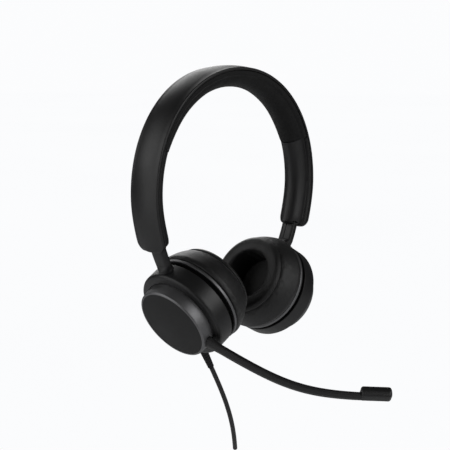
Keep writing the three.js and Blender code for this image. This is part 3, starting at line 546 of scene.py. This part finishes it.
class Line:
    """A flat curve measured by its length."""

    def __init__(self, points):
        self.points = points
        steps = np.linalg.norm(np.diff(points, axis=0), axis=1)
        self.lengths = np.concatenate([[0], np.cumsum(steps)])
        self.length = self.lengths[-1]

    def at(self, along):
        return np.array([np.interp(along, self.lengths, self.points[:, k]) for k in (0, 1)])

    def heading(self, along):
        ahead = self.at(min(along + 0.3, self.length)) - self.at(max(along - 0.3, 0))
        return ahead / np.linalg.norm(ahead)


def cup_place(side, forward=CUP_FORWARD):
    """The placement of a cup's own frame. Side is 1 on the right and -1 on the left."""
    out = Vector((side * math.cos(CUP_TILT), 0, -math.sin(CUP_TILT)))
    up = Vector((side * math.sin(CUP_TILT), 0, math.cos(CUP_TILT)))
    turn = Matrix((up.cross(out), up, out)).transposed().to_4x4()
    return Matrix.Translation((side * CUP_X, forward, -EAR_DROP)) @ turn


SIDES = {"right": 1, "left": -1}


# ---- Headband ----
def band_line():
    """The outer face from the crown to the right leg's end, as (x, z)."""
    lean = (LEG_PULL * math.sin(BAND_END_LEAN), LEG_PULL * math.cos(BAND_END_LEAN))
    arch = [
        (0, BAND_TOP),
        (CROWN_PULL, BAND_TOP),
        (BAND_SPAN, BAND_WAIST_Z + SIDE_PULL),
        (BAND_SPAN, BAND_WAIST_Z),
    ]
    leg = [
        (BAND_SPAN, BAND_WAIST_Z),
        (BAND_SPAN, BAND_WAIST_Z - LEG_PULL),
        (BAND_END[0] + lean[0], BAND_END[1] + lean[1]),
        BAND_END,
    ]
    t = np.linspace(0, 1, 500)
    return Line(np.concatenate([bezier(arch, t), bezier(leg, t)[1:]]))


BAND = band_line()


def on_band(along, depth, y):
    """A point at a distance along the band from the crown, a depth inwards and y across."""
    side = 1 if along >= 0 else -1
    at = BAND.at(abs(along))
    heading = BAND.heading(abs(along)) if along else (1.0, 0.0)
    return (side * (at[0] + heading[1] * depth), y, at[1] - heading[0] * depth)


def stations(start, end, gap, fine_ends=()):
    """Distances from start to end, a gap apart, and closer together near the rounded ends."""
    count = max(2, round(abs(end - start) / gap))
    even = list(np.linspace(start, end, count + 1))
    near = [e + (start + end - 2 * e) / abs(end - start) * step for e in fine_ends for step in END_STEPS]
    return sorted(set(even + near), reverse=bool(start > end))


def rounded_end(distance, radius):
    """How far a rounded corner has drawn in at a distance from the end."""
    if distance >= radius:
        return 0.0
    return radius - math.sqrt(max(0.0, radius**2 - (radius - distance) ** 2))


def band_section(section, along, corner, edge):
    """A section of (y, depth) at its place on the band, drawn in where a leg's end is near."""
    distance = BAND.length - abs(along)
    wide = max(abs(y) for y, _ in section)
    narrowing = (wide - rounded_end(distance, corner) - rounded_end(distance, edge)) / wide
    middle = np.mean([depth for _, depth in section])
    thick = max(abs(depth - middle) for _, depth in section)
    thinning = (thick - rounded_end(distance, edge)) / thick
    return [on_band(along, middle + (depth - middle) * thinning, y * narrowing) for y, depth in section]


def mirrored(half):
    """A whole section from its right half, which runs from the outer middle to the inner middle."""
    return half + [(-y, depth) for y, depth in reversed(half) if y > 0.001]


def ellipse(half_width, start, end, pieces=14):
    """A rounded back, from its side to its crest."""
    angles = [math.pi / 2 * i / pieces for i in range(pieces + 1)]
    return [(half_width * math.cos(a), start + (end - start) * math.sin(a)) for a in angles]


def band_shell():
    """The springy outer shell: a slightly crowned face with rounded edges."""
    half = BAND_WIDTH / 2
    crown = [(half * 0.8 * s, SHELL_CROWN * (s**2 - 0.6)) for s in np.linspace(0, 1, 8)]
    edge = softened(
        [crown[-1], (half, 0.45, 2.0), (half, SHELL_DEPTH, 0.3), (0, SHELL_DEPTH)],
        closed=False,
        pieces=6,
    )
    section = mirrored(crown[:-1] + edge)
    places = stations(-BAND.length, BAND.length, 2.4, (-BAND.length, BAND.length))
    piece = swept("shell", [band_section(section, along, LEG_CORNER, 0.7) for along in places])
    shade(piece)
    settle(piece, "satin_plastic", "headband", "band_shell")


def leg_cover(name, side):
    """The inner cover of a leg: a flat rim and a rounded back, hollow, open where the arm leaves it."""
    half = BAND_WIDTH / 2 - 0.15
    top = SHELL_DEPTH + FIT
    back = ellipse(BACK_HALF_WIDTH, RIM_DEPTH, LEG_DEPTH, 24)
    back = [(y, depth) for y, depth in back if depth > RIM_DEPTH + 1.2 * VALLEY_RADIUS]
    rim = [
        (0, top),
        (half, top, 0.25),
        (half, RIM_DEPTH, 0.6),
        (BACK_HALF_WIDTH, RIM_DEPTH, VALLEY_RADIUS),
        back[0],
    ]
    section = mirrored(softened(rim, closed=False) + back[1:])
    start = SEAM_AT + FIT / 2
    places = [side * s for s in stations(start, BAND.length, 1.6, (BAND.length,))]
    piece = swept("cover_" + name, [band_section(section, s, LEG_CORNER, 1.6) for s in places])
    inside = BACK_HALF_WIDTH - COVER_WALL
    hollow = [
        (0, top - 0.5),
        (inside, top - 0.5),
        *ellipse(inside, LEG_DEPTH * 0.5, LEG_DEPTH - COVER_WALL),
    ]
    places = [side * s for s in stations(start - 2, BAND.length - 1.6, 3)]
    cavity = swept("cavity", [[on_band(s, depth, y) for y, depth in mirrored(hollow)] for s in places])
    slot = arm_sweep("slot", side, STEM_WIDTH + 2 * FIT, STEM_THICKNESS + 2 * FIT, 1.2, *STEM_SLOT)
    shade(combined(piece, [cavity, slot], "DIFFERENCE"))
    settle(piece, "satin_plastic", "headband", "leg_cover_" + name)


# ---- Arms ----
def on_arm(x, along, out):
    """A point of the arm in the cup's frame: a distance along its arc and a height out of it."""
    turn = (along - DRUM_RADIUS) / ARM_BEND
    radius = ARM_BEND + out
    return (x, DRUM_RADIUS + radius * math.sin(turn), STEM_Z - ARM_BEND + radius * math.cos(turn))


def arm_sweep(name, side, width, thickness, corner, start, end, out=0.0):
    """A flat bar along the arm's arc, at a height out of its line."""
    x, z = width / 2, thickness / 2
    section = mirrored(softened([(0, z), (x, z), (x, -z), (0, -z)], corner, closed=False))
    sections = [[on_arm(px, along, out + pz) for px, pz in section] for along in stations(start, end, 1.5)]
    return swept(name, sections, cup_place(side, 0))


def squared(value, power):
    """A sine or cosine bent so that an ellipse becomes a squarer outline."""
    return math.copysign(abs(value) ** power, value)


def stem_bar(name, side, end):
    """A round hub that turns on the drum and changes into a bar of rounded section."""
    angles = [2 * math.pi * i / 64 for i in range(64)]
    sections = []
    for along in stations(HUB_LOW, end, 0.4, (HUB_LOW,)):
        share = min(1.0, max(0.0, (along - HUB_FLARE) / (HUB_HIGH - HUB_FLARE)))
        change = share * share * (3 - 2 * share)
        edge = rounded_end(along - HUB_LOW, 0.5)
        half_width = HUB_RADIUS - edge + (STEM_WIDTH / 2 - HUB_RADIUS) * change
        half_thickness = HUB_RADIUS - edge + (STEM_THICKNESS / 2 - HUB_RADIUS) * change
        power = 1 + (STEM_SQUARENESS - 1) * change
        sections.append([
            on_arm(
                half_width * squared(math.cos(a), power),
                along,
                half_thickness * squared(math.sin(a), power),
            )
            for a in angles
        ])
    return swept(name, sections, cup_place(side, 0))


def slider_arm(name, side):
    """The arm: the thick bar that shows, the tongue in the leg and the pivot neck."""
    wide_end = DRUM_RADIUS + ARM_WIDE
    end = DRUM_RADIUS + ARM_LENGTH
    bar = stem_bar("arm_" + name, side, wide_end)
    tongue = arm_sweep("tongue", side, TONGUE_WIDTH, TONGUE_THICKNESS, 0.5, wide_end - 1, end)
    place = cup_place(side, 0)
    neck_low = place @ Vector((0, NECK_LOW, STEM_Z))
    neck_high = place @ Vector((0, HUB_LOW + 1, STEM_Z))
    neck = rod("neck", NECK_RADIUS, neck_low, neck_high)
    combined(bar, [tongue, neck], "UNION")
    low = -STEM_THICKNESS / 2
    grooves = [
        arm_sweep("groove", side, STEM_GROOVE, 1.0, 0.3, HUB_HIGH, wide_end + 1, low),
        arm_sweep("groove", side, TONGUE_GROOVE, 0.8, 0.2, wide_end + 1, end + 1, -TONGUE_THICKNESS / 2),
    ]
    shade(combined(bar, grooves, "DIFFERENCE"))
    settle(bar, "satin_plastic", "arm_" + name, "slider_arm_" + name)


# ---- Cups ----
def cup_housing(name, side):
    """The drum: a straight wall, a rounded shoulder and the sunk seat of the turret."""
    inside = DRUM_RADIUS - WALL
    profile = softened([
        (inside, DRUM_LOW),
        (DRUM_RADIUS, DRUM_LOW, 0.35),
        (DRUM_RADIUS, SHOULDER_Z - LAND_FALL, 1.6 * SHOULDER_RADIUS),
        (TURRET_RADIUS + FIT, SHOULDER_Z, 0.15),
        (TURRET_RADIUS + FIT, SEAT_Z, 0.1),
        (AXLE_RADIUS + 0.6, SEAT_Z, 0.1),
        (AXLE_RADIUS + 0.6, SEAT_Z - SEAT_FLOOR, 0.1),
        (inside, SEAT_Z - SEAT_FLOOR, 1.2),
    ], pieces=8)
    place = cup_place(side)
    piece = lathe("drum_" + name, profile, place)
    stem = place @ Vector((-side * CUP_FORWARD, 0, STEM_Z))
    up = Vector((side * math.sin(CUP_TILT), 0, math.cos(CUP_TILT)))
    beyond = DRUM_RADIUS + 2
    holes = [
        rod("hole", BUSH_RADIUS + FIT, stem + up * 22, stem + up * beyond),
        rod("spot_face", HUB_RADIUS + FIT, stem + up * (HUB_LOW - FIT), stem + up * beyond),
    ]
    if side > 0:
        holes.append(rod("hole", BOOT_NECK + FIT, stem - up * 24, stem - up * beyond))
    shade(combined(piece, holes, "DIFFERENCE"))
    settle(piece, "satin_plastic", "cup_" + name, "cup_housing_" + name)


def baffle(name, side):
    """The plate in the gap between the drum and the cushion. Its near-black dull finish is painted shade,
    standing in for the gap's shadow.
    """
    low = RING_HEIGHT + FIT
    inset, thickness = BAFFLE_FLANGE
    profile = softened([
        (SPEAKER_RADIUS + FIT, low),
        (DRUM_RADIUS - inset, low, 0.2),
        (DRUM_RADIUS - inset, low + thickness, 0.2),
        (DRUM_RADIUS - BAFFLE_WALL, low + thickness, 0.1),
        (DRUM_RADIUS - BAFFLE_WALL, DRUM_LOW - FIT, 0.2),
        (SPEAKER_RADIUS + FIT, DRUM_LOW - FIT),
    ], 0.1)
    piece = lathe("baffle_plate_" + name, profile, cup_place(side))
    shade(piece)
    # The baffle's near-black finish is painted shade for the shaded gap.
    settle(piece, "matt_plastic", "cup_" + name, "baffle_" + name, finish="shade_black_plastic")


def cushion_ring(name, side):
    """The thin flat ring under the cushion, whose edge catches the light."""
    hole = SPEAKER_RADIUS - 0.4
    profile = softened([
        (hole, 0),
        (RING_RADIUS - 0.3, 0, 0.3),
        (RING_RADIUS, 0.5, 0.5),
        (RING_RADIUS, RING_HEIGHT, 0.35),
        (RING_RADIUS - WALL, RING_HEIGHT, 0.2),
        (RING_RADIUS - WALL, RING_PLATE, 0.1),
        (hole, RING_PLATE),
    ], 0.1)
    piece = lathe("ring_" + name, profile, cup_place(side))
    shade(piece)
    settle(piece, "satin_plastic", "cup_" + name, "cushion_ring_" + name, finish="turned_plastic")


def speaker_cloth(name, side):
    """The cloth in the cushion's opening, bulging a little over the speaker."""
    radius = CUSHION_HOLE - 0.4
    dome = [(radius * s, -0.75 - 0.5 * (1 - s**2)) for s in np.linspace(0, 1, 12)]
    piece = lathe("cloth_" + name, [*dome, (radius, -FIT), (0, -FIT)], cup_place(side), 96)
    shade(piece, 60)
    settle(piece, "speaker_cloth", "cup_" + name, "speaker_cloth_" + name)


def inflate(piece, held, pressure, cap, spare):
    """Swells a soft piece by cloth simulation at a larger scale, with some points held.

    No point moves further than the cap, in millimetres. Spare is the share of extra cloth.
    """
    enlarged = 10
    rest = np.array([v.co for v in piece.data.vertices])
    piece.data.transform(Matrix.Scale(enlarged, 4))
    group = piece.vertex_groups.new(name="held")
    group.add([int(i) for i in held], 1.0, "REPLACE")
    cloth = piece.modifiers.new("cloth", "CLOTH")
    settings = cloth.settings
    settings.quality = 6
    settings.mass = 0.3
    settings.tension_stiffness = settings.compression_stiffness = 20
    settings.shear_stiffness = 8
    settings.bending_stiffness = 6
    settings.use_pressure = True
    settings.uniform_pressure_force = pressure
    settings.shrink_min = -spare
    settings.vertex_group_mass = "held"
    settings.effector_weights.gravity = 0
    cloth.point_cache.frame_start = 1
    cloth.point_cache.frame_end = CLOTH_STEPS
    for step in range(1, CLOTH_STEPS + 1):
        scene.frame_set(step)
    evaluated = piece.evaluated_get(bpy.context.evaluated_depsgraph_get())
    moved = np.array([v.co for v in evaluated.data.vertices]) / enlarged
    piece.modifiers.clear()
    piece.vertex_groups.clear()
    scene.frame_set(1)
    shift = moved - rest
    size = np.linalg.norm(shift, axis=1)[:, None]
    kept = np.minimum(1, cap * MM / np.maximum(size, 1e-9))
    piece.data.vertices.foreach_set("co", (rest + shift * kept).astype(np.float32).ravel())
    piece.data.update()


def subdivided(piece):
    """Gives a soft piece one level of subdivision."""
    modifier = piece.modifiers.new("subdivision", "SUBSURF")
    modifier.levels = modifier.render_levels = 1


def ear_cushion(name, side):
    """Foam in leatherette: a side panel, a sewn crease, and a softer front panel round the ear."""
    rim, front, seam = CUSHION_RADIUS, CUSHION_FRONT_RADIUS, CUSHION_SEAM_Z
    outline = softened([
        (CUSHION_HOLE, -FIT, 0),
        (rim - 1.4, -FIT, 0.2),
        (rim - 0.2, -0.9, 0.5),
        (rim + 0.2, -3, 2),
        (rim - 1.7, -9.5, 5),
        (front + 0.7, seam + 0.9, 0.6),
        (front - 0.8, seam - 0.1, 0.3),
        (front, seam - 1.1, 0.6),
        (front - 1.9, CUSHION_FRONT_Z + 0.2, 1.8),
        ((front + CUSHION_HOLE) / 2, CUSHION_FRONT_Z, 4),
        (CUSHION_HOLE + 0.3, CUSHION_FRONT_Z + 0.6, 2.2),
        (CUSHION_HOLE, CUSHION_FRONT_Z + 4, 2.5),
    ], pieces=5)
    profile = spaced(outline, 0.9)
    piece = lathe("cushion_" + name, profile, cup_place(side), CUSHION_ROUND)
    held = []
    for i, (radius, z) in enumerate(profile):
        at_base = z > -0.9
        in_crease = radius > front - 1 and abs(z - seam + 0.1) < 0.5
        if at_base or in_crease:
            held += range(i * CUSHION_ROUND, (i + 1) * CUSHION_ROUND)
    inflate(piece, held, 3.0, 0.5, 0.004)
    shade(piece, 70)
    subdivided(piece)
    settle(piece, "leatherette", "cup_" + name, "ear_cushion_" + name)


def pad_section():
    """Half the pad's section is drawn, from its groove round the side to the crest, and mirrored."""
    half = BAND_WIDTH / 2 - 0.3
    top = SHELL_DEPTH + FIT
    shoulder = top + PAD_SHOULDER
    groove, bottom = PAD_GROOVE
    crest = ellipse(half - 1.5, shoulder, BAND_TOP - 0.1, 12)
    side = [
        (0, bottom),
        (groove, bottom, 0.2),
        (groove, top, 0.2),
        (half, top, 0.6),
        (half - 0.3, shoulder, 2.0),
        crest[1],
    ]
    return spaced(mirrored(softened(side, closed=False) + crest[2:]), 1.3)


def head_pad():
    """A long foam pad in leatherette, glued under the shell, with its groove for the spring strip."""
    top = SHELL_DEPTH + FIT
    middle = (top + BAND_TOP) / 2
    groove, bottom = PAD_GROOVE
    section = pad_section()
    count = len(section)
    end = SEAM_AT - FIT / 2
    places = stations(-end, end, 1.7, (-end, end))
    rows = []
    for along in places:
        drawn = rounded_end(end - abs(along), 0.7)
        slimming = PAD_SLIMMING * max(0.0, 1 - (end - abs(along)) / PAD_SLIM_LENGTH) ** 2
        row = []
        for y, depth in section:
            inner = max(0.0, (depth - middle) / (BAND_TOP - middle))
            width = (1 - drawn / 14) * (1 - slimming * (inner > 0))
            row.append(on_band(along, depth - drawn * inner, y * width))
        rows.append(row)
    piece = swept("pad", rows)
    glued = []
    for i, (y, depth) in enumerate(section):
        at_top = depth < top + 0.6
        in_groove = abs(y) < groove + 0.1 and depth < bottom + 0.3
        if at_top or in_groove:
            glued.append(i)
    held = [0, len(places) * count + 1]
    held += [1 + row * count + i for row in range(len(places)) for i in glued]
    held += [1 + row * count + i for row in (0, len(places) - 1) for i in range(count)]
    inflate(piece, held, 2.0, 0.3, 0.002)
    shade(piece, 60)
    subdivided(piece)
    settle(piece, "leatherette", "headband", "head_pad", finish="pad_leatherette")


def turret_profile():
    """The outside of the turret and of the left cup's cap, from the base up to the face."""
    narrow = TURRET_RADIUS - TURRET_DRAFT
    return [
        (TURRET_RADIUS - 0.7, SEAT_Z + FIT, 0.2),
        (TURRET_RADIUS, SEAT_Z + 2 * FIT, 0.4),
        (narrow, TURRET_TOP - 0.75, 0.3),
        (narrow - 0.75, TURRET_TOP, 0.3),
    ]


def turret():
    """The turning turret of the right cup, with its well and the tube that it turns on."""
    well = TURRET_TOP - TURRET_WELL
    rim = CAP_RADIUS + 0.32
    outline = softened([
        (AXLE_BORE, well),
        (AXLE_BORE, AXLE_LOW),
        (AXLE_RADIUS, AXLE_LOW),
        (AXLE_RADIUS, SEAT_Z + FIT),
        *turret_profile(),
        (rim, TURRET_TOP - 0.15, 0.05),
        (rim, well, 0.2),
    ], 0.1)
    piece = lathe("turret_body", outline, cup_place(1))
    shade(piece)
    settle(piece, "satin_plastic", "boom", "turret", finish="turned_plastic")


def turret_cap():
    """The plate inlaid in the turret's face."""
    rim = CAP_RADIUS + 0.3
    face = TURRET_TOP - 0.2
    outline = [(0, CAP_LOW), (rim, CAP_LOW), (rim, face, 0.12), (0, face + 0.1)]
    piece = lathe("turret_face", softened(outline, 0.1, closed=False), cup_place(1))
    shade(piece)
    settle(piece, "matt_plastic", "boom", "turret_cap", finish="face_plastic")


def left_cap():
    """The fixed cap of the left cup, of the turret's outline."""
    roof = TURRET_TOP - LEFT_ROOF
    inside = TURRET_RADIUS - WALL
    outline = softened([
        (0, roof),
        (AXLE_BORE, roof),
        (AXLE_BORE, AXLE_LOW),
        (AXLE_RADIUS, AXLE_LOW),
        (AXLE_RADIUS, roof),
        (inside, roof),
        (inside, SEAT_Z + FIT),
        *turret_profile(),
        (0, TURRET_TOP),
    ], 0.1, closed=False)
    piece = lathe("left_cap", outline, cup_place(-1))
    shade(piece)
    settle(piece, "satin_plastic", "cup_left", "outer_cap_left", finish="turned_plastic")


# ---- Boom and microphone ----
BOOM = Line(bezier(BOOM_LINE, np.linspace(0, 1, 500)))
MIC_FROM = BOOM.length - MIC_LENGTH


def boom_place():
    """The boom's own frame: x along it, z outwards from the head."""
    return cup_place(1) @ Matrix.Rotation(-BOOM_DROP, 4, "Z")


def boom_arm():
    """A flattened tube with a lengthwise ridge on its outer face, swelling where it meets the turret."""
    section = softened([
        (-0.5, 0.12, 0.12),
        (-0.40, 0.34, 0.12),
        (0.02, 0.5, 0.10),
        (0.42, 0.30, 0.12),
        (0.5, 0.05, 0.12),
        (0.44, -0.42, 0.2),
        (-0.44, -0.42, 0.2),
    ], pieces=4)
    start = -BOOM_SUNK
    sections = []
    for along in stations(start, MIC_FROM + 3, 2.0, (start,)):
        outside = max(along, 0)
        share = outside / BOOM.length
        heading = BOOM.heading(outside)
        at = BOOM.at(outside) + heading * min(along, 0)
        swell = max(0.0, 1 - share / BOOM_SWELL_SHARE) ** 2
        height = np.interp(share, (0, 1), BOOM_HEIGHT) + BOOM_SWELL[0] * swell
        thickness = np.interp(share, (0, 1), BOOM_THICKNESS) + BOOM_SWELL[1] * swell
        sections.append([
            (at[0] - heading[1] * y * thickness, x * height, at[1] + heading[0] * y * thickness)
            for x, y in section
        ])
    piece = swept("boom_tube", sections, boom_place())
    shade(piece, 28)
    settle(piece, "matt_plastic", "boom", "boom_arm")


def mic_place():
    """The microphone's own frame: x along it from where the boom ends, z outwards from the head."""
    at = BOOM.at(MIC_FROM)
    heading = BOOM.at(BOOM.length) - at
    along = Vector((heading[0], 0, heading[1])).normalized()
    up = Vector((0, 1, 0))
    turn = Matrix((along, up, along.cross(up))).transposed().to_4x4()
    return boom_place() @ Matrix.Translation((at[0], 0, at[1])) @ turn


def microphone():
    """A rounded block that steps up from the boom, with a foam patch that faces the mouth."""
    rise = (MIC_HEIGHT - BOOM_HEIGHT[1]) / 2
    high = MIC_HEIGHT / 2
    thick = MIC_THICKNESS / 2
    section = softened([
        (high, 0.2 * thick, 0.9),
        (0.75 * high, thick, 1.2),
        (-0.7 * high, thick, 1.2),
        (-high, 0.3 * thick, 1.0),
        (-0.9 * high, -thick, 1.6),
        (0.9 * high, -thick, 1.6),
    ], pieces=5)
    sections = []
    for x in stations(0, MIC_LENGTH, 1.2, (0, MIC_LENGTH)):
        drawn = rounded_end(x, 1.3) + rounded_end(MIC_LENGTH - x, 1.8)
        sections.append([
            (x, rise + y * (1 - drawn / high), z * (1 - drawn / thick) - MIC_INSET) for y, z in section
        ])
    place = mic_place()
    piece = swept("mic_body", sections, place)
    port = place @ Vector((MIC_PORT_X, rise, -MIC_INSET))
    inward = (place.to_3x3() @ Vector((0, 0, -1))).normalized()
    hole = rod("port", MIC_PORT + 0.1, port + inward * 2.2, port + inward * 5)
    shade(combined(piece, [hole], "DIFFERENCE"), 34)
    settle(piece, "satin_plastic", "boom", "mic_housing")
    dome = [(0, -3.15), (1.4, -3.05), (2.3, -2.8), (MIC_PORT, -2.4), (MIC_PORT, -2.25), (0, -2.25)]
    patch = lathe("mic_patch", dome, place @ Matrix.Translation((MIC_PORT_X, rise, -MIC_INSET)), 48)
    shade(patch, 60)
    settle(patch, "mic_foam", "boom", "mic_grille")


# ---- Cord ----
def wound(piece, count, lengths):
    """Gives a tube uv coordinates: turns round it, and millimetres along it at each of its rows."""
    layer = piece.data.uv_layers.new(name="round_and_along")
    for loop in piece.data.loops:
        index = loop.vertex_index - 1
        row, column = divmod(index, count)
        if 0 <= index < len(lengths) * count:
            layer.data[loop.index].uv = (column / count, lengths[row])


def cord():
    """The braided cord, hanging and curling back a little."""
    bends = [(-14.8, CORD_END), (-7.8, -107), (-2.8, -87), (-0.5, -68), (0, -50), (0, -36), (0, CORD_TOP)]
    back, height = zip(*bends)
    y = np.linspace(CORD_TOP, CORD_END, 200)
    x = np.polynomial.Polynomial.fit(y, np.interp(y, height, back), 5)(y)
    line = Line(np.stack([x - CUP_FORWARD, y], axis=1))
    count = 24
    places = np.linspace(0, line.length, 140)
    sections = []
    for along in places:
        at = line.at(along)
        heading = line.heading(along)
        ring = []
        for k in range(count):
            angle = 2 * math.pi * k / count
            side = CORD_RADIUS * math.cos(angle)
            out = CORD_RADIUS * math.sin(angle)
            ring.append((at[0] - heading[1] * side, at[1] + heading[0] * side, STEM_Z + out))
        sections.append(ring)
    piece = swept("cord_sleeve", sections, cup_place(1))
    wound(piece, count, places)
    shade(piece, 60)
    settle(piece, "cord_braid", "cup_right", "cord")


def cord_boot():
    """The rubber boot: rounded ribs that narrow down the cord."""
    bore = CORD_RADIUS + 0.05
    top = -DRUM_RADIUS - 0.5
    pitch = (top - CORD_BOOT_END) / BOOT_RIBS
    flange = BOOT_NECK + 0.6
    clip_high, clip_low = BOOT_CLIP
    outline = [(bore, clip_high), (flange, clip_high), (flange, clip_low), (BOOT_NECK, clip_low)]
    for i in range(BOOT_RIBS):
        high = top - i * pitch
        radius = BOOT_NECK + (BOOT_TIP - BOOT_NECK) * i / (BOOT_RIBS - 1)
        outline += [
            (radius, high, 0.3),
            (radius, high - 0.62 * pitch, 0.3),
            (radius - BOOT_GROOVE, high - 0.7 * pitch, 0.1),
            (radius - BOOT_GROOVE, high - 0.92 * pitch, 0.1),
        ]
    outline.append((bore, CORD_BOOT_END))
    entry = Matrix.Translation((-CUP_FORWARD, 0, STEM_Z))
    place = cup_place(1) @ entry @ Matrix.Rotation(-math.pi / 2, 4, "X")
    piece = lathe("boot", softened(outline, 0.2, 3), place, 48)
    shade(piece, 40)
    settle(piece, "rubber", "cup_right", "cord_boot")


# ---- Stage ----
def stage():
    """A pale floor far below the headset and an even pale backdrop behind it."""
    corners = [(FLOOR_REACH * x, FLOOR_REACH * y, FLOOR_Z) for x, y in ((-1, -1), (1, -1), (1, 1), (-1, 1))]
    floor = build("floor", corners, [[0, 1, 2, 3]])
    material, tree, shader, where = blank("floor_paint")
    shader.inputs["Roughness"].default_value = 0.9
    tint = tinted(tree, noise(tree, where, 700), (0.955, 0.962, 0.975), (0.975, 0.98, 0.988))
    tree.links.new(tint, shader.inputs["Base Color"])
    glow = add(tree, "ShaderNodeEmission", Color=tint, Strength=1.0)
    seen = add(tree, "ShaderNodeLightPath").outputs["Is Camera Ray"]
    mix = add(tree, "ShaderNodeMixShader", Fac=seen)
    tree.links.new(shader.outputs[0], mix.inputs[1])
    tree.links.new(glow.outputs[0], mix.inputs[2])
    tree.links.new(mix.outputs[0], tree.nodes["Material Output"].inputs["Surface"])
    floor.data.materials.append(material)


def world():
    """A soft white studio: pale to the camera, and dimmer as a light so that the lamps shape it."""
    made = bpy.data.worlds.new("studio")
    scene.world = made
    made.use_nodes = True
    tree = made.node_tree
    tree.nodes.clear()
    seen = add(tree, "ShaderNodeLightPath").outputs["Is Camera Ray"]
    pale = add(tree, "ShaderNodeBackground", Color=BACKDROP, Strength=1.0)
    soft = add(tree, "ShaderNodeBackground", Color=(1, 1, 1, 1), Strength=STUDIO_GLOW)
    mix = add(tree, "ShaderNodeMixShader", Fac=seen)
    tree.links.new(soft.outputs[0], mix.inputs[1])
    tree.links.new(pale.outputs[0], mix.inputs[2])
    output = tree.nodes.new("ShaderNodeOutputWorld")
    tree.links.new(mix.outputs[0], output.inputs["Surface"])


def camera_axes():
    """The camera's right, its up, and the way back from what it looks at."""
    azimuth, elevation = CAMERA_AZIMUTH, CAMERA_ELEVATION
    level = Vector((math.sin(azimuth), -math.cos(azimuth), 0))
    back = level * math.cos(elevation) + Vector((0, 0, math.sin(elevation)))
    right = Vector((math.cos(azimuth), math.sin(azimuth), 0))
    return right, back.cross(right), back


def camera():
    """The camera, a long lens at the headset's front right."""
    right, up, back = camera_axes()
    data = bpy.data.cameras.new("camera")
    data.lens = CAMERA_LENS
    data.sensor_width = 36
    data.shift_x, data.shift_y = CAMERA_SHIFT
    data.clip_start = 0.01
    data.clip_end = 50
    made = bpy.data.objects.new("camera", data)
    turn = Matrix((right, up, back)).transposed().to_4x4()
    made.matrix_world = Matrix.Translation((CAMERA_AIM + CAMERA_DISTANCE * back) * MM) @ turn
    scene.collection.objects.link(made)
    scene.camera = made


def softbox(name, direction, power):
    """A square lamp. Its direction is told in the camera's right, up and back."""
    where = sum((share * axis for share, axis in zip(direction, camera_axes())), Vector()).normalized()
    data = bpy.data.lights.new(name, "AREA")
    data.size = SOFTBOX_SIZE
    data.energy = power
    made = bpy.data.objects.new(name, data)
    made.location = CAMERA_AIM * MM - Vector((0, 0, SOFTBOX_DROP)) + where * SOFTBOX_DISTANCE
    made.rotation_mode = "QUATERNION"
    made.rotation_quaternion = where.to_track_quat("Z", "Y")
    made.visible_camera = False
    scene.collection.objects.link(made)


# ---- The headset ----
for node in frame["nodes"].values():
    node.data.materials.clear()
for part in frame["record"]["subparts"]:
    frame["nodes"][part["node"]].data.materials.append(FINISHES[part["material_slot"]])

band_shell()
head_pad()
for name, side in SIDES.items():
    leg_cover(name, side)
    slider_arm(name, side)
    cup_housing(name, side)
    baffle(name, side)
    cushion_ring(name, side)
    speaker_cloth(name, side)
    ear_cushion(name, side)
turret()
turret_cap()
left_cap()
boom_arm()
microphone()
cord_boot()
cord()

# ---- The studio ----
stage()
world()
camera()
for name, (direction, power) in SOFTBOXES.items():
    softbox(name, direction, power)
scene.view_settings.view_transform = "Standard"
